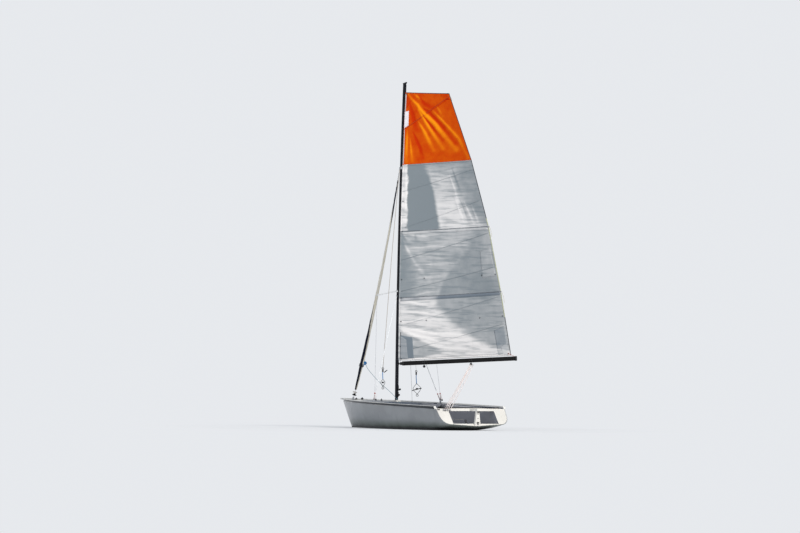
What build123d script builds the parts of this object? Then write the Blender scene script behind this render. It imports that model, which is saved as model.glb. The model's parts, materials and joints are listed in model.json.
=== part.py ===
from build123d import *
from math import cos, hypot, radians, sin, tan, atan2
import os

os.makedirs("parts", exist_ok=True)

# A two-handed sailing dinghy, afloat and empty, with its mainsail set and its jib rolled up.
# Frame: +X to the bow, +Y to port, +Z up, in millimetres. The origin is on the water, midships.

# Hull form
SHEER_AFT_Z = 462.0
SHEER_SLOPE = 0.0249
SKIN = 8.0
STEM_KNEE = 34.0
OVER_SHEER = 160.0

# Each section stands in a plane that leans from its keel point to its sheer point.
# columns: keel x, sheer x, half beam, bilge y, bilge z, keel z, bilge reach, keel half width, deck crown
SECTIONS = [
    (-2201.0, -1948.0, 824.0, 780.0, 125.0, 82.0, 150.0, 60.0, 6.0),
    (-1560.0, -1500.0, 856.0, 730.0, 22.0, -38.0, 140.0, 60.0, 12.0),
    (-700.0, -700.0, 874.0, 715.0, -28.0, -112.0, 150.0, 60.0, 18.0),
    (100.0, 100.0, 832.0, 640.0, -36.0, -146.0, 170.0, 60.0, 44.0),
    (850.0, 870.0, 655.0, 430.0, -8.0, -136.0, 150.0, 50.0, 50.0),
    (1430.0, 1520.0, 380.0, 205.0, 40.0, -100.0, 100.0, 30.0, 44.0),
    (1796.0, 2140.0, 17.0, 13.0, 130.0, -42.0, 60.0, 4.0, 6.0),
]
TRANSOM_TOP_X = SECTIONS[0][1]

# Cockpit and tanks
BULKHEAD_X = 300.0
TANK_WALL_Y = 538.0
FLOOR_Z = 130.0
TANK_EDGE_R = 35.0

# Gunwale: a raised lip round the deck with the rubbing strake outside it, and the bow cap
LIP = 50.0
LIP_WIDTH = 25.0
LIP_NOSE_X = 1985.0
LIP_NOSE_HALF = 80.0
LIP_RUN_OUT = 60.0
STRAKE_OUT = 26.0
STRAKE_DEPTH_AFT = 56.0
STRAKE_DEPTH_BOW = 26.0
BOW_TIP_X = 2200.0
BOW_TIP_HALF = 22.0

# Transom beam, rudder post and gudgeons
BEAM_FORE_AFT = 70.0
BEAM_DEPTH = 42.0
POST_X = -2200.0
POST_BASE_WIDTH = 134.0
POST_TOP_WIDTH = 42.0
POST_DEPTH = 46.0
POST_TOP_Z = 412.0
ARM_HEIGHT = 34.0
GUDGEON_BORE_R = 5.0
GUDGEON_WALL = 5.0
GUDGEON_HEIGHT = 26.0
GUDGEON_REACH = 26.0
GUDGEON_PLATE = 4.0
GUDGEON_PLATE_WIDTH = 50.0
GUDGEON_Z = (150.0, 355.0)

# Mainsheet track on the beam, with its car at the port end
TRACK_WIDTH = 26.0
TRACK_HEIGHT = 12.0
TRACK_HALF = 715.0
TRACK_END_STOP = 20.0
CAR_LENGTH = 78.0
CAR_WIDTH = 46.0
CAR_HEIGHT = 18.0
CAR_END_GAP = 6.0
CAR_FIT = 0.5
CAR_EYE_R = 13.0
CAR_EYE_WIRE = 4.0

# Centreboard, stored up in its case
BOARD_THICK = 22.0
BOARD_GAP = 5.0
PIVOT_X = 90.0
PIVOT_Z = -18.0
PIVOT_R = 6.0
PIVOT_FIT = 0.05
BOARD_LENGTH = 1110.0
BOARD_LOW = 74.0
BOARD_HIGH = 184.0
BOARD_TIP = 150.0
CASE_END_GAP = 16.0
CASE_WALL = 18.0
CASE_TOP_Z = 216.0
CASE_ROOF = 14.0
CASE_SLOPE = 90.0

# Mast, a bent tube stepped on the foredeck
MAST_X = 380.0
MAST_FOOT_Z = 526.0
MAST_STEP_TOP = 548.0
MAST_STEP_LENGTH = 130.0
MAST_STEP_WIDTH = 90.0
MAST_TOP_Z = 6640.0
MAST_BEND = 152.0
MAST_RX = 35.0
MAST_RY = 29.0
GROOVE_WIDTH = 9.0
GROOVE_DEPTH = 12.0
MAST_CAP_H = 22.0
CRANE_REACH = 26.0
CRANE_WIDTH = 22.0
CRANE_RISE = 14.0

# Standing rigging
WIRE_R = 2.5
HOUNDS_Z = 5022.0
HOUND_BAND_H = 46.0
HOUND_BAND_WALL = 3.0
TANG_OUT = 12.0
TANG_SIZE = 26.0
SPREADER_TIP = (208.0, 619.0, 2559.0)
SPREADER_RISE = 88.0
SPREADER_ROOT = (36.0, 18.0, 30.0)
SPREADER_R = 9.0
SPREADER_TIP_R = 13.0
LOWER_SHROUD_Z = 2554.0
LOWER_SHROUD_R = 3.0
CHAINPLATE = (25.0, 792.0)
CHAINPLATE_TOP = 96.0
CHAINPLATE_WIDTH = 50.0
CHAINPLATE_THICK = 5.0
CHAINPLATE_BASE = 4.0
CHAINPLATE_BASE_LENGTH = 74.0
SHROUD_SPLIT = 15.0

# Forestay and rolled jib
STAY_FOOT_X = 1790.0
STAY_FOOT_RISE = 34.0
STAY_SAG = 88.0
DRUM_R = 42.0
DRUM_HEIGHT = 62.0
DRUM_CORE_R = 20.0
DRUM_FLANGE = 6.0
DRUM_RISE = 60.0
SWIVEL_R = 13.0
SWIVEL_HEIGHT = 60.0
# columns: share of the roll's length from its foot, radius
ROLL = [(0.0, 20.0), (0.13, 38.0), (0.30, 33.0), (0.62, 25.0), (1.0, 11.0)]
ROLL_FOOT_SHARE = 0.045
ROLL_HEAD_SHARE = 0.935

# Boom, swung out to starboard as it lies in the rest pose
BOOM_SWING = 36.6
GOOSENECK_Z = 1250.0
BOOM_START = 76.0
BOOM_LENGTH = 2340.0
BOOM_LIFT = 2.77
BOOM_WIDTH = 52.0
BOOM_DEPTH = 82.0
BOOM_CORNER = 22.0
END_CAP = 24.0
END_CAP_LIP = 5.0
GOOSENECK_PIN_R = 5.0
GOOSENECK_PIN_FIT = 0.05
GOOSENECK_LUG = 12.0
GOOSENECK_TONGUE = 16.0
GOOSENECK_EYE_R = 13.0
GOOSENECK_OUT = 22.0
GOOSENECK_LET_IN = 4.0
GOOSENECK_FREE = 0.6
SHEET_BLOCK_AT = 1450.0
MID_BLOCK_AT = 510.0
BLOCK_R = 24.0
BLOCK_THICK = 20.0
BLOCK_DROP = 34.0
STRAP_THICK = 3.0

# Mainsail: panels between full-length battens
CLOTH = 4.0
LUFF_FORWARD = 12.0
BATTEN_R = 6.0
SAIL_TWIST = 7.0
HEAD_DROP = 162.0
HEAD_Z = MAST_TOP_Z - HEAD_DROP
# columns: height up the luff as a share from the gooseneck to the head, rise of the leech over the
# luff, chord from the swing axis to the leech, belly as a share of the chord
SAIL_STATIONS = [
    (0.0115, 121.0, 2251.0, 0.020),
    (0.2420, 141.0, 2000.0, 0.045),
    (0.4868, 111.0, 1707.0, 0.050),
    (0.7330, 97.0, 1323.0, 0.045),
    (0.8629, 655.0, 872.0, 0.030),
    (1.0000, -23.0, 849.0, 0.026),
]
ORANGE_FROM = 3

# Cockpit fittings
HATCH_R = 75.0
HATCH_RIM = 12.0
HATCH_THICK = 10.0
HATCH_KNOB_R = 16.0
HATCH_Y = 300.0
HATCH_Z = 310.0
STRAP_WIDTH = 50.0
TOE_STRAP_THICK = 3.0
TOE_STRAP_Y = 330.0
TOE_STRAP_Z = 196.0
TOE_STRAP_FORE_X = -420.0
TOE_STRAP_AFT_X = -1430.0
STRAP_POST = 34.0
JIB_TRACK_X = -40.0
JIB_TRACK_LENGTH = 220.0
JIB_TRACK_WIDTH = 20.0
JIB_TRACK_HEIGHT = 10.0
JIB_TRACK_INBOARD = 46.0
CLEAT_HEIGHTS = (655.0, 790.0)
CLEAT_LENGTH = 92.0
CLEAT_BAR = 9.0
CLEAT_STAND = 22.0


def sheer_z(x):
    """Height of the sheer, a straight line in profile."""
    return SHEER_AFT_Z + SHEER_SLOPE * (x - TRANSOM_TOP_X)


def corner_arc(before, corner, after, reach):
    """The two tangent points and the middle of the arc that rounds a corner."""
    def unit(p, q):
        length = hypot(q[0] - p[0], q[1] - p[1])
        return (q[0] - p[0]) / length, (q[1] - p[1]) / length

    back, ahead = unit(corner, before), unit(corner, after)
    half = atan2(
        abs(back[0] * ahead[1] - back[1] * ahead[0]),
        back[0] * ahead[0] + back[1] * ahead[1],
    ) / 2
    radius = reach * tan(half)
    bisector = (back[0] + ahead[0], back[1] + ahead[1])
    size = hypot(*bisector)
    inward = radius / sin(half) - radius
    start = (corner[0] + back[0] * reach, corner[1] + back[1] * reach)
    end = (corner[0] + ahead[0] * reach, corner[1] + ahead[1] * reach)
    middle = (corner[0] + bisector[0] / size * inward, corner[1] + bisector[1] / size * inward)
    return start, middle, end


def section_wire(row, inset=0.0, over=0.0, shift=0.0):
    """One closed section of the hull. over ends it under or past the sheer, shift moves it along X."""
    keel_x, sheer_x, beam, bilge_y, bilge_z, keel_z, reach, keel_half, crown = row
    top_z = sheer_z(sheer_x)
    lean = (sheer_x - keel_x) / (top_z - keel_z)
    side_slope = (beam - bilge_y) / (top_z - bilge_z)
    beam, bilge_y = max(beam - inset, 4.0), max(bilge_y - inset, 3.0)
    bilge_z, low_z = bilge_z + inset, keel_z + inset
    rise = (bilge_z - low_z) * keel_half / bilge_y
    sheer = (beam + over * side_slope, top_z + over)
    start, middle, end = corner_arc((keel_half, low_z + rise), (bilge_y, bilge_z), sheer, reach)

    def place(point, side=1):
        y, z = point
        return Vector(keel_x + shift + lean * (z - keel_z), side * y, z)

    edges = [
        Edge.make_three_point_arc(
            place((keel_half, low_z + rise), -1),
            place((0, low_z + rise / 2)),
            place((keel_half, low_z + rise)),
        ),
        Edge.make_line(place((keel_half, low_z + rise)), place(start)),
        Edge.make_three_point_arc(place(start), place(middle), place(end)),
        Edge.make_line(place(end), place(sheer)),
    ]
    if over > 0:
        edges.append(Edge.make_line(place(sheer), place(sheer, -1)))
    else:
        edges.append(
            Edge.make_three_point_arc(place(sheer), place((0, sheer[1] + crown)), place(sheer, -1))
        )
    edges += [
        Edge.make_line(place(sheer, -1), place(end, -1)),
        Edge.make_three_point_arc(place(end, -1), place(middle, -1), place(start, -1)),
        Edge.make_line(place(start, -1), place((keel_half, low_z + rise), -1)),
    ]
    return Wire(edges)


def block(low, high):
    """An upright box from its lowest to its highest corner."""
    size = [b - a for a, b in zip(low, high)]
    return Pos(*[(a + b) / 2 for a, b in zip(low, high)]) * Box(*size)


def rod(start, end, radius):
    """A round bar between two points."""
    along = Vector(*end) - Vector(*start)
    return extrude(Plane(origin=start, z_dir=along) * Circle(radius), along.length)


def mirrored(shape):
    """The same piece on the other side of the boat."""
    return mirror(shape, about=Plane.XZ)


def single(shape):
    """The one solid of a boolean's result, or all of them as one compound."""
    solids = shape.solids()
    return solids[0] if len(solids) == 1 else Compound(solids)


def hull_volumes():
    """The outer form up to the deck, and the space inside the skin carried up past the deck."""
    outer = Solid.make_loft([section_wire(row, over=-LIP) for row in SECTIONS])
    inner_rows = [section_wire(row, SKIN, OVER_SHEER) for row in SECTIONS[:-1]]
    inner_rows.append(section_wire(SECTIONS[-1], SKIN, OVER_SHEER, -STEM_KNEE))
    return outer, Solid.make_loft(inner_rows)


def deck_slab():
    """A full-width band under the sheer, a strake's reach wider than the hull."""
    wires = []
    last = len(SECTIONS) - 1
    for index, row in enumerate(SECTIONS + [None]):
        if row is None:
            keel_x = sheer_x = BOW_TIP_X
            half, lean, depth = BOW_TIP_HALF, 0.0, STRAKE_DEPTH_BOW
        else:
            keel_x, sheer_x, half = row[:3]
            lean = (sheer_x - keel_x) / (sheer_z(sheer_x) - row[5])
            half += STRAKE_OUT
            depth = STRAKE_DEPTH_AFT + (STRAKE_DEPTH_BOW - STRAKE_DEPTH_AFT) * index / last
        top = sheer_z(sheer_x)
        low_x = sheer_x - lean * depth
        wires.append(Wire.make_polygon([
            (sheer_x, half, top), (low_x, half, top - depth),
            (low_x, -half, top - depth), (sheer_x, -half, top),
        ]))
    return Solid.make_loft(wires)


def lip_space():
    """The space inside the raised lip, open at the transom."""
    aft, fore = SECTIONS[:2]
    run_out = (aft[2] - fore[2]) / (aft[1] - fore[1]) * -LIP_RUN_OUT
    places = [(aft[1] - LIP_RUN_OUT, aft[2] + run_out)] + [row[1:3] for row in SECTIONS[:-1]]
    places = [(x, half - LIP_WIDTH) for x, half in places] + [(LIP_NOSE_X, LIP_NOSE_HALF)]
    return Solid.make_loft([
        Wire.make_polygon([
            (x, half, sheer_z(x) + LIP), (x, half, sheer_z(x) - 3 * LIP),
            (x, -half, sheer_z(x) - 3 * LIP), (x, -half, sheer_z(x) + LIP),
        ])
        for x, half in places
    ])


def cockpit_space():
    """The open well: rounded tank edges ahead of the transom beam, square under and behind it."""
    wires = []
    for x in (BEAM_FRONT_X, BULKHEAD_X):
        top = deck_z(x, TANK_WALL_Y)
        wide, low = TANK_WALL_Y + TANK_EDGE_R, top - TANK_EDGE_R
        knee = (TANK_WALL_Y + TANK_EDGE_R * (1 - cos(radians(45))),
                low + TANK_EDGE_R * sin(radians(45)))
        edges = []
        for side in (1, -1):
            edges += [
                Edge.make_line((x, side * TANK_WALL_Y, FLOOR_Z), (x, side * TANK_WALL_Y, low)),
                Edge.make_three_point_arc(
                    (x, side * TANK_WALL_Y, low), (x, side * knee[0], knee[1]), (x, side * wide, top)
                ),
                Edge.make_line((x, side * wide, top), (x, side * wide, top + OVER_SHEER)),
            ]
        edges += [
            Edge.make_line((x, -TANK_WALL_Y, FLOOR_Z), (x, TANK_WALL_Y, FLOOR_Z)),
            Edge.make_line((x, -wide, top + OVER_SHEER), (x, wide, top + OVER_SHEER)),
        ]
        wires.append(Wire(edges))
    well = Solid.make_loft(wires, True)
    stern = block((-2400, -TANK_WALL_Y, FLOOR_Z), (BEAM_FRONT_X, TANK_WALL_Y, 900))
    return well + stern


def mast_x(z):
    """The mast's middle line, upright at the foot and bent aft."""
    share = (z - MAST_FOOT_Z) / (MAST_TOP_Z - MAST_FOOT_Z)
    return MAST_X - MAST_BEND * share ** 2


def deck_z(x, y):
    """Height of the deck at a place."""
    hits = OUTER.find_intersection_points(Axis((x, y, -1000), (0, 0, 1)))
    return max(point.Z for point, normal in hits)


# Hull: one moulding, with the tanks, the floor and the transom beam inside it
BEAM_FRONT_X = TRANSOM_TOP_X + BEAM_FORE_AFT
OUTER, INNER = hull_volumes()
BOARD_SLOT_HALF = BOARD_THICK / 2 + BOARD_GAP
HEAD_REACH = hypot(BOARD_LOW, BOARD_LOW)
SLOT_FRONT = PIVOT_X + HEAD_REACH + CASE_END_GAP
SLOT_BACK = PIVOT_X - BOARD_LENGTH - CASE_END_GAP
slot = block((SLOT_BACK, -BOARD_SLOT_HALF, -400), (SLOT_FRONT, BOARD_SLOT_HALF, CASE_TOP_Z - CASE_ROOF))
pin = rod((PIVOT_X, -BOARD_SLOT_HALF - 40, PIVOT_Z), (PIVOT_X, BOARD_SLOT_HALF + 40, PIVOT_Z), PIVOT_R)
well = cockpit_space()
core = OUTER & INNER

hull_moulding = single(OUTER - INNER - slot)
bow_tank = single(core & block((BULKHEAD_X, -1000, -500), (2500, 1000, 900)))
side_tank = single((core & block((-2500, TANK_WALL_Y, -500), (BULKHEAD_X, 1000, 900))) - well)
floor_part = core & block((-2500, -TANK_WALL_Y, -500), (BULKHEAD_X, TANK_WALL_Y, FLOOR_Z))
cockpit_floor = single(floor_part - slot - pin)
beam_low = SHEER_AFT_Z - LIP - BEAM_DEPTH
transom_beam = single(core & block((-2500, -TANK_WALL_Y, beam_low), (BEAM_FRONT_X, TANK_WALL_Y, 900)))
gunwale = single(deck_slab() - lip_space() - OUTER)

# Rudder post behind the open transom, with the arm that ties it to the beam
post_low = SECTIONS[0][5] + 8
post = extrude(
    Plane.YZ * make_face(Polyline(
        (-POST_BASE_WIDTH / 2, post_low), (POST_BASE_WIDTH / 2, post_low),
        (POST_TOP_WIDTH / 2, POST_TOP_Z), (-POST_TOP_WIDTH / 2, POST_TOP_Z), close=True,
    )),
    POST_DEPTH,
)
post = Pos(POST_X - POST_DEPTH / 2, 0, 0) * post
arm = block((POST_X, -POST_TOP_WIDTH / 2, POST_TOP_Z - ARM_HEIGHT),
            (TRANSOM_TOP_X, POST_TOP_WIDTH / 2, POST_TOP_Z))
rudder_post = single(post + arm - OUTER)

post_back = POST_X - POST_DEPTH / 2
gudgeons = []
for z in GUDGEON_Z:
    eye_x = post_back - GUDGEON_REACH
    low, high = z - GUDGEON_HEIGHT / 2, z + GUDGEON_HEIGHT / 2
    eye_r = GUDGEON_BORE_R + GUDGEON_WALL
    lug = rod((eye_x, 0, low), (eye_x, 0, high), eye_r)
    lug += block((eye_x, -eye_r, low), (post_back, eye_r, high))
    lug += block((post_back - GUDGEON_PLATE, -GUDGEON_PLATE_WIDTH / 2, low),
                 (post_back, GUDGEON_PLATE_WIDTH / 2, high))
    gudgeons.append(single(lug - rod((eye_x, 0, low - 1), (eye_x, 0, high + 1), GUDGEON_BORE_R)))

# Mainsheet track across the transom and its car
track_x = TRANSOM_TOP_X + 8 + TRACK_WIDTH
track_top = deck_z(track_x, 0) + TRACK_HEIGHT
track = block((track_x - TRACK_WIDTH / 2, -TRACK_HALF, track_top - 2 * TRACK_HEIGHT),
              (track_x + TRACK_WIDTH / 2, TRACK_HALF, track_top))
for side in (1, -1):
    stop = sorted((side * TRACK_HALF, side * (TRACK_HALF - TRACK_END_STOP)))
    track += block((track_x - TRACK_WIDTH / 2 - 5, stop[0], track_top - 2 * TRACK_HEIGHT),
                   (track_x + TRACK_WIDTH / 2 + 5, stop[1], track_top + 6))
mainsheet_track = single(track - OUTER)
CAR_Y = TRACK_HALF - TRACK_END_STOP - CAR_END_GAP - CAR_LENGTH / 2
car = block((track_x - CAR_WIDTH / 2, CAR_Y - CAR_LENGTH / 2, track_top - 6),
            (track_x + CAR_WIDTH / 2, CAR_Y + CAR_LENGTH / 2, track_top + CAR_HEIGHT))
car -= block((track_x - TRACK_WIDTH / 2 - CAR_FIT, CAR_Y - CAR_LENGTH, track_top - 20),
             (track_x + TRACK_WIDTH / 2 + CAR_FIT, CAR_Y + CAR_LENGTH, track_top + CAR_FIT))
eye = Plane(origin=(track_x, CAR_Y, track_top + CAR_HEIGHT + CAR_EYE_R - 2), z_dir=(1, 0, 0))
mainsheet_car = single(car + Torus(CAR_EYE_R, CAR_EYE_WIRE).moved(eye.location))

# Centreboard: blade, pin and case
blade_line = [
    (PIVOT_X + 56, PIVOT_Z - BOARD_LOW), (PIVOT_X - BOARD_LENGTH + 60, PIVOT_Z - BOARD_LOW + 34),
    (PIVOT_X - BOARD_LENGTH, PIVOT_Z + 30), (PIVOT_X - BOARD_LENGTH + 40, PIVOT_Z + BOARD_TIP),
    (PIVOT_X - 300, PIVOT_Z + BOARD_HIGH), (PIVOT_X + 10, PIVOT_Z + BOARD_HIGH),
    (PIVOT_X + HEAD_REACH - 30, PIVOT_Z + 60), (PIVOT_X + HEAD_REACH - 30, PIVOT_Z - 40),
]
blade = extrude(Plane.XZ * make_face(Polyline(*blade_line, close=True)), BOARD_THICK / 2, both=True)
blade = fillet(blade.edges().filter_by(Axis.Y), 22)
bore = rod((PIVOT_X, -200, PIVOT_Z), (PIVOT_X, 200, PIVOT_Z), PIVOT_R + PIVOT_FIT)
centreboard = single(blade - bore)
case_half = BOARD_SLOT_HALF + CASE_WALL
case_profile = Polyline(
    (SLOT_FRONT + CASE_WALL, FLOOR_Z), (SLOT_FRONT + CASE_WALL, CASE_TOP_Z),
    (SLOT_BACK + CASE_SLOPE, CASE_TOP_Z), (SLOT_BACK - CASE_WALL, FLOOR_Z + 40),
    (SLOT_BACK - CASE_WALL, FLOOR_Z), close=True,
)
slot_profile = Polyline(
    (SLOT_FRONT, FLOOR_Z - 10), (SLOT_FRONT, CASE_TOP_Z - CASE_ROOF),
    (SLOT_BACK + CASE_SLOPE, CASE_TOP_Z - CASE_ROOF), (SLOT_BACK, FLOOR_Z + 30),
    (SLOT_BACK, FLOOR_Z - 10), close=True,
)
case = extrude(Plane.XZ * make_face(case_profile), case_half, both=True)
case = fillet(case.edges().filter_by(Axis.X).sort_by(Axis.Z)[-2:], 12)
centreboard_case = single(case - extrude(Plane.XZ * make_face(slot_profile), BOARD_SLOT_HALF, both=True))

# Mast, its step, the head crane and the hounds
mast_path = Edge.make_three_point_arc(
    (mast_x(MAST_FOOT_Z), 0, MAST_FOOT_Z),
    (mast_x((MAST_FOOT_Z + MAST_TOP_Z) / 2), 0, (MAST_FOOT_Z + MAST_TOP_Z) / 2),
    (mast_x(MAST_TOP_Z), 0, MAST_TOP_Z),
)
foot_dir = mast_path % 0
foot_plane = Plane(origin=mast_path @ 0, x_dir=(foot_dir.Z, 0, -foot_dir.X), z_dir=foot_dir)
section = Ellipse(MAST_RX, MAST_RY) - Pos(-MAST_RX, 0) * Rectangle(2 * GROOVE_DEPTH, GROOVE_WIDTH)
mast = single(sweep(foot_plane * section, path=mast_path))
mast_form = single(sweep(foot_plane * Ellipse(MAST_RX, MAST_RY), path=mast_path))
step = block((MAST_X - MAST_STEP_LENGTH / 2, -MAST_STEP_WIDTH / 2, MAST_FOOT_Z - 40),
             (MAST_X + MAST_STEP_LENGTH / 2, MAST_STEP_WIDTH / 2, MAST_STEP_TOP))
mast_step = single(step - OUTER - mast_form)

top_x = mast_x(MAST_TOP_Z)
cap = extrude(Plane(origin=(top_x, 0, MAST_TOP_Z - 4)) * Ellipse(MAST_RX + 3, MAST_RY + 3), MAST_CAP_H)
crane = extrude(
    Plane.XZ * make_face(Polyline(
        (top_x + MAST_RX, MAST_TOP_Z + 8), (top_x - MAST_RX, MAST_TOP_Z - 2),
        (top_x - MAST_RX - CRANE_REACH, MAST_TOP_Z + CRANE_RISE),
        (top_x - MAST_RX - CRANE_REACH, MAST_TOP_Z + MAST_CAP_H + CRANE_RISE),
        (top_x + MAST_RX, MAST_TOP_Z + MAST_CAP_H - 6), close=True,
    )),
    CRANE_WIDTH / 2, both=True,
)
masthead = single(cap + crane - mast_form)

hound_x = mast_x(HOUNDS_Z)
tang_y = MAST_RY + TANG_OUT
band_plane = Plane(origin=(hound_x, 0, HOUNDS_Z - HOUND_BAND_H / 2))
band = extrude(
    band_plane * Ellipse(MAST_RX + HOUND_BAND_WALL + 2, MAST_RY + HOUND_BAND_WALL + 2), HOUND_BAND_H
)
half_tang = TANG_SIZE / 2
tangs = block((hound_x - half_tang, -tang_y - 6, HOUNDS_Z - half_tang),
              (hound_x + half_tang, tang_y + 6, HOUNDS_Z + half_tang))
tangs += block((hound_x, -8, HOUNDS_Z - half_tang),
               (hound_x + MAST_RX + 22, 8, HOUNDS_Z + half_tang))
hounds = single(band + tangs - mast_form)

# Spreaders and shrouds
spreader_root_z = SPREADER_TIP[2] + SPREADER_RISE
spreaders, shrouds, lower_shrouds, lower_tangs, chainplates = [], [], [], [], []
chain_z = deck_z(*CHAINPLATE)
for side in (1, -1):
    tip = (SPREADER_TIP[0], side * SPREADER_TIP[1], SPREADER_TIP[2])
    lower = (CHAINPLATE[0] - SHROUD_SPLIT, side * CHAINPLATE[1], chain_z + CHAINPLATE_TOP)
    inner = (CHAINPLATE[0] + SHROUD_SPLIT, side * CHAINPLATE[1], chain_z + CHAINPLATE_TOP)
    upper = (hound_x, side * (tang_y + 6), HOUNDS_Z)
    wire = rod(upper, tip, WIRE_R) + rod(tip, lower, WIRE_R) + Pos(*tip) * Sphere(WIRE_R)
    wire = single(wire - hounds)
    shrouds.append(wire)
    low_x, low_y = mast_x(LOWER_SHROUD_Z), side * (MAST_RY + TANG_OUT / 2)
    low_wire = rod((low_x, low_y, LOWER_SHROUD_Z), inner, LOWER_SHROUD_R)
    lower_shrouds.append(low_wire)
    ends = sorted((side * (MAST_RY - 12), side * (MAST_RY + TANG_OUT)))
    tang = block((low_x - half_tang, ends[0], LOWER_SHROUD_Z - half_tang),
                 (low_x + half_tang, ends[1], LOWER_SHROUD_Z + half_tang))
    lower_tangs.append(single(tang - mast_form - low_wire))
    root_x, root_out = mast_x(spreader_root_z), MAST_RY + SPREADER_ROOT[1]
    root = Vector(root_x, side * (MAST_RY + SPREADER_ROOT[1] / 2), spreader_root_z)
    ends = sorted((side * (MAST_RY - 12), side * root_out))
    bracket = block((root_x - SPREADER_ROOT[0] / 2, ends[0], spreader_root_z - SPREADER_ROOT[2] / 2),
                    (root_x + SPREADER_ROOT[0] / 2, ends[1], spreader_root_z + SPREADER_ROOT[2] / 2))
    reach = (Vector(*tip) - root).normalized()
    spar = rod(root, Vector(*tip) - reach * SPREADER_TIP_R, SPREADER_R)
    spar += rod(Vector(*tip) - reach * 2 * SPREADER_TIP_R, Vector(*tip) + reach * 6, SPREADER_TIP_R)
    spar = (spar - wire).solids().sort_by(SortBy.VOLUME)[-1]
    spreaders.append(single(spar + (bracket - mast_form)))
    plate = block(
        (CHAINPLATE[0] - CHAINPLATE_WIDTH / 2, lower[1] - CHAINPLATE_THICK / 2, chain_z - 12),
        (CHAINPLATE[0] + CHAINPLATE_WIDTH / 2, lower[1] + CHAINPLATE_THICK / 2,
         chain_z + CHAINPLATE_TOP + 10),
    )
    plate += block(
        (CHAINPLATE[0] - CHAINPLATE_BASE_LENGTH / 2, lower[1] - 16, chain_z - 12),
        (CHAINPLATE[0] + CHAINPLATE_BASE_LENGTH / 2, lower[1] + 16, chain_z + CHAINPLATE_BASE),
    )
    chainplates.append(single(plate - OUTER - wire - low_wire))

# Forestay, furler and rolled jib on one sagging line
foot = Vector(STAY_FOOT_X, 0, deck_z(STAY_FOOT_X, 0) + STAY_FOOT_RISE)
head = Vector(hound_x + MAST_RX + 22, 0, HOUNDS_Z)
along = (head - foot).normalized()
sag = Vector(-along.Z, 0, along.X) * STAY_SAG
stay = Edge.make_three_point_arc(foot, (foot + head) * 0.5 + sag, head)


def stay_plane(share):
    return Plane(origin=stay @ share, z_dir=stay % share)


roll_span = ROLL_HEAD_SHARE - ROLL_FOOT_SHARE
furled_jib = Solid.make_loft([
    Wire.make_circle(radius, stay_plane(ROLL_FOOT_SHARE + roll_span * share)) for share, radius in ROLL
])
drum_share = DRUM_RISE / stay.length
drum_plane = stay_plane(drum_share)
drum = Cylinder(DRUM_CORE_R, DRUM_HEIGHT, align=(Align.CENTER, Align.CENTER, Align.MIN))
for z in (0, DRUM_HEIGHT - DRUM_FLANGE):
    drum += Pos(0, 0, z) * Cylinder(
        DRUM_R, DRUM_FLANGE, align=(Align.CENTER, Align.CENTER, Align.MIN)
    )
furler_drum = single(drum.moved(drum_plane.location))
swivel_plane = stay_plane(ROLL_HEAD_SHARE)
swivel = Cylinder(SWIVEL_R, SWIVEL_HEIGHT, align=(Align.CENTER, Align.CENTER, Align.MIN))
swivel = swivel.moved(swivel_plane.location) - furled_jib
furler_swivel = single(swivel)
wire_shares = [
    (0.0, drum_share),
    (drum_share + DRUM_HEIGHT / stay.length, ROLL_FOOT_SHARE),
    (ROLL_HEAD_SHARE + SWIVEL_HEIGHT / stay.length, 1.0),
]
stay_wires = []
for start, end in wire_shares:
    piece = rod(tuple(stay @ start), tuple(stay @ end), WIRE_R)
    stay_wires.append(single(piece - furler_drum - furled_jib - furler_swivel - hounds))
bow_plate = block((STAY_FOOT_X - 60, -20, foot.Z - 60), (STAY_FOOT_X + 60, 20, foot.Z - STAY_FOOT_RISE + 5))
bow_plate += block((STAY_FOOT_X - 16, -3, foot.Z - 60), (STAY_FOOT_X + 16, 3, foot.Z + 10))
bow_fitting = single(bow_plate - OUTER - stay_wires[0])

# Swing axis just behind the mast, straight from the gooseneck to the sail's head
AXIS_OFF = MAST_RX + GOOSENECK_OUT
axis_foot = Vector(mast_x(GOOSENECK_Z) - AXIS_OFF, 0, GOOSENECK_Z)
axis_head = Vector(mast_x(HEAD_Z) - AXIS_OFF, 0, HEAD_Z)
axis_dir = (axis_head - axis_foot).normalized()
SWING = Axis(axis_foot, axis_dir)
GOOSE_PLANE = Plane(origin=axis_foot, x_dir=(-axis_dir.Z, 0, axis_dir.X), z_dir=axis_dir)
lift = radians(BOOM_LIFT)
BOOM_PLANE = Plane(origin=axis_foot, x_dir=(-cos(lift), 0, sin(lift)), z_dir=(sin(lift), 0, cos(lift)))


def at_goose(shape):
    return shape.moved(GOOSE_PLANE.location)


def on_boom(shape):
    return shape.moved(BOOM_PLANE.location).rotate(SWING, BOOM_SWING)


def swung(shape):
    return shape.rotate(SWING, BOOM_SWING)


lug_low = GOOSENECK_TONGUE / 2 + GOOSENECK_FREE
lug_reach = GOOSENECK_OUT + GROOVE_DEPTH + GOOSENECK_LET_IN
lugs = Cylinder(GOOSENECK_PIN_R, 2 * (lug_low + GOOSENECK_LUG) + 8)
for side in (1, -1):
    centre = side * (lug_low + GOOSENECK_LUG / 2)
    lugs += Pos(0, 0, centre) * Cylinder(GOOSENECK_EYE_R, GOOSENECK_LUG)
    lugs += Pos(-lug_reach / 2, 0, centre) * Box(lug_reach, 2 * GOOSENECK_EYE_R, GOOSENECK_LUG)
gooseneck = single(at_goose(lugs))
mast = single(mast - gooseneck)

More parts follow.
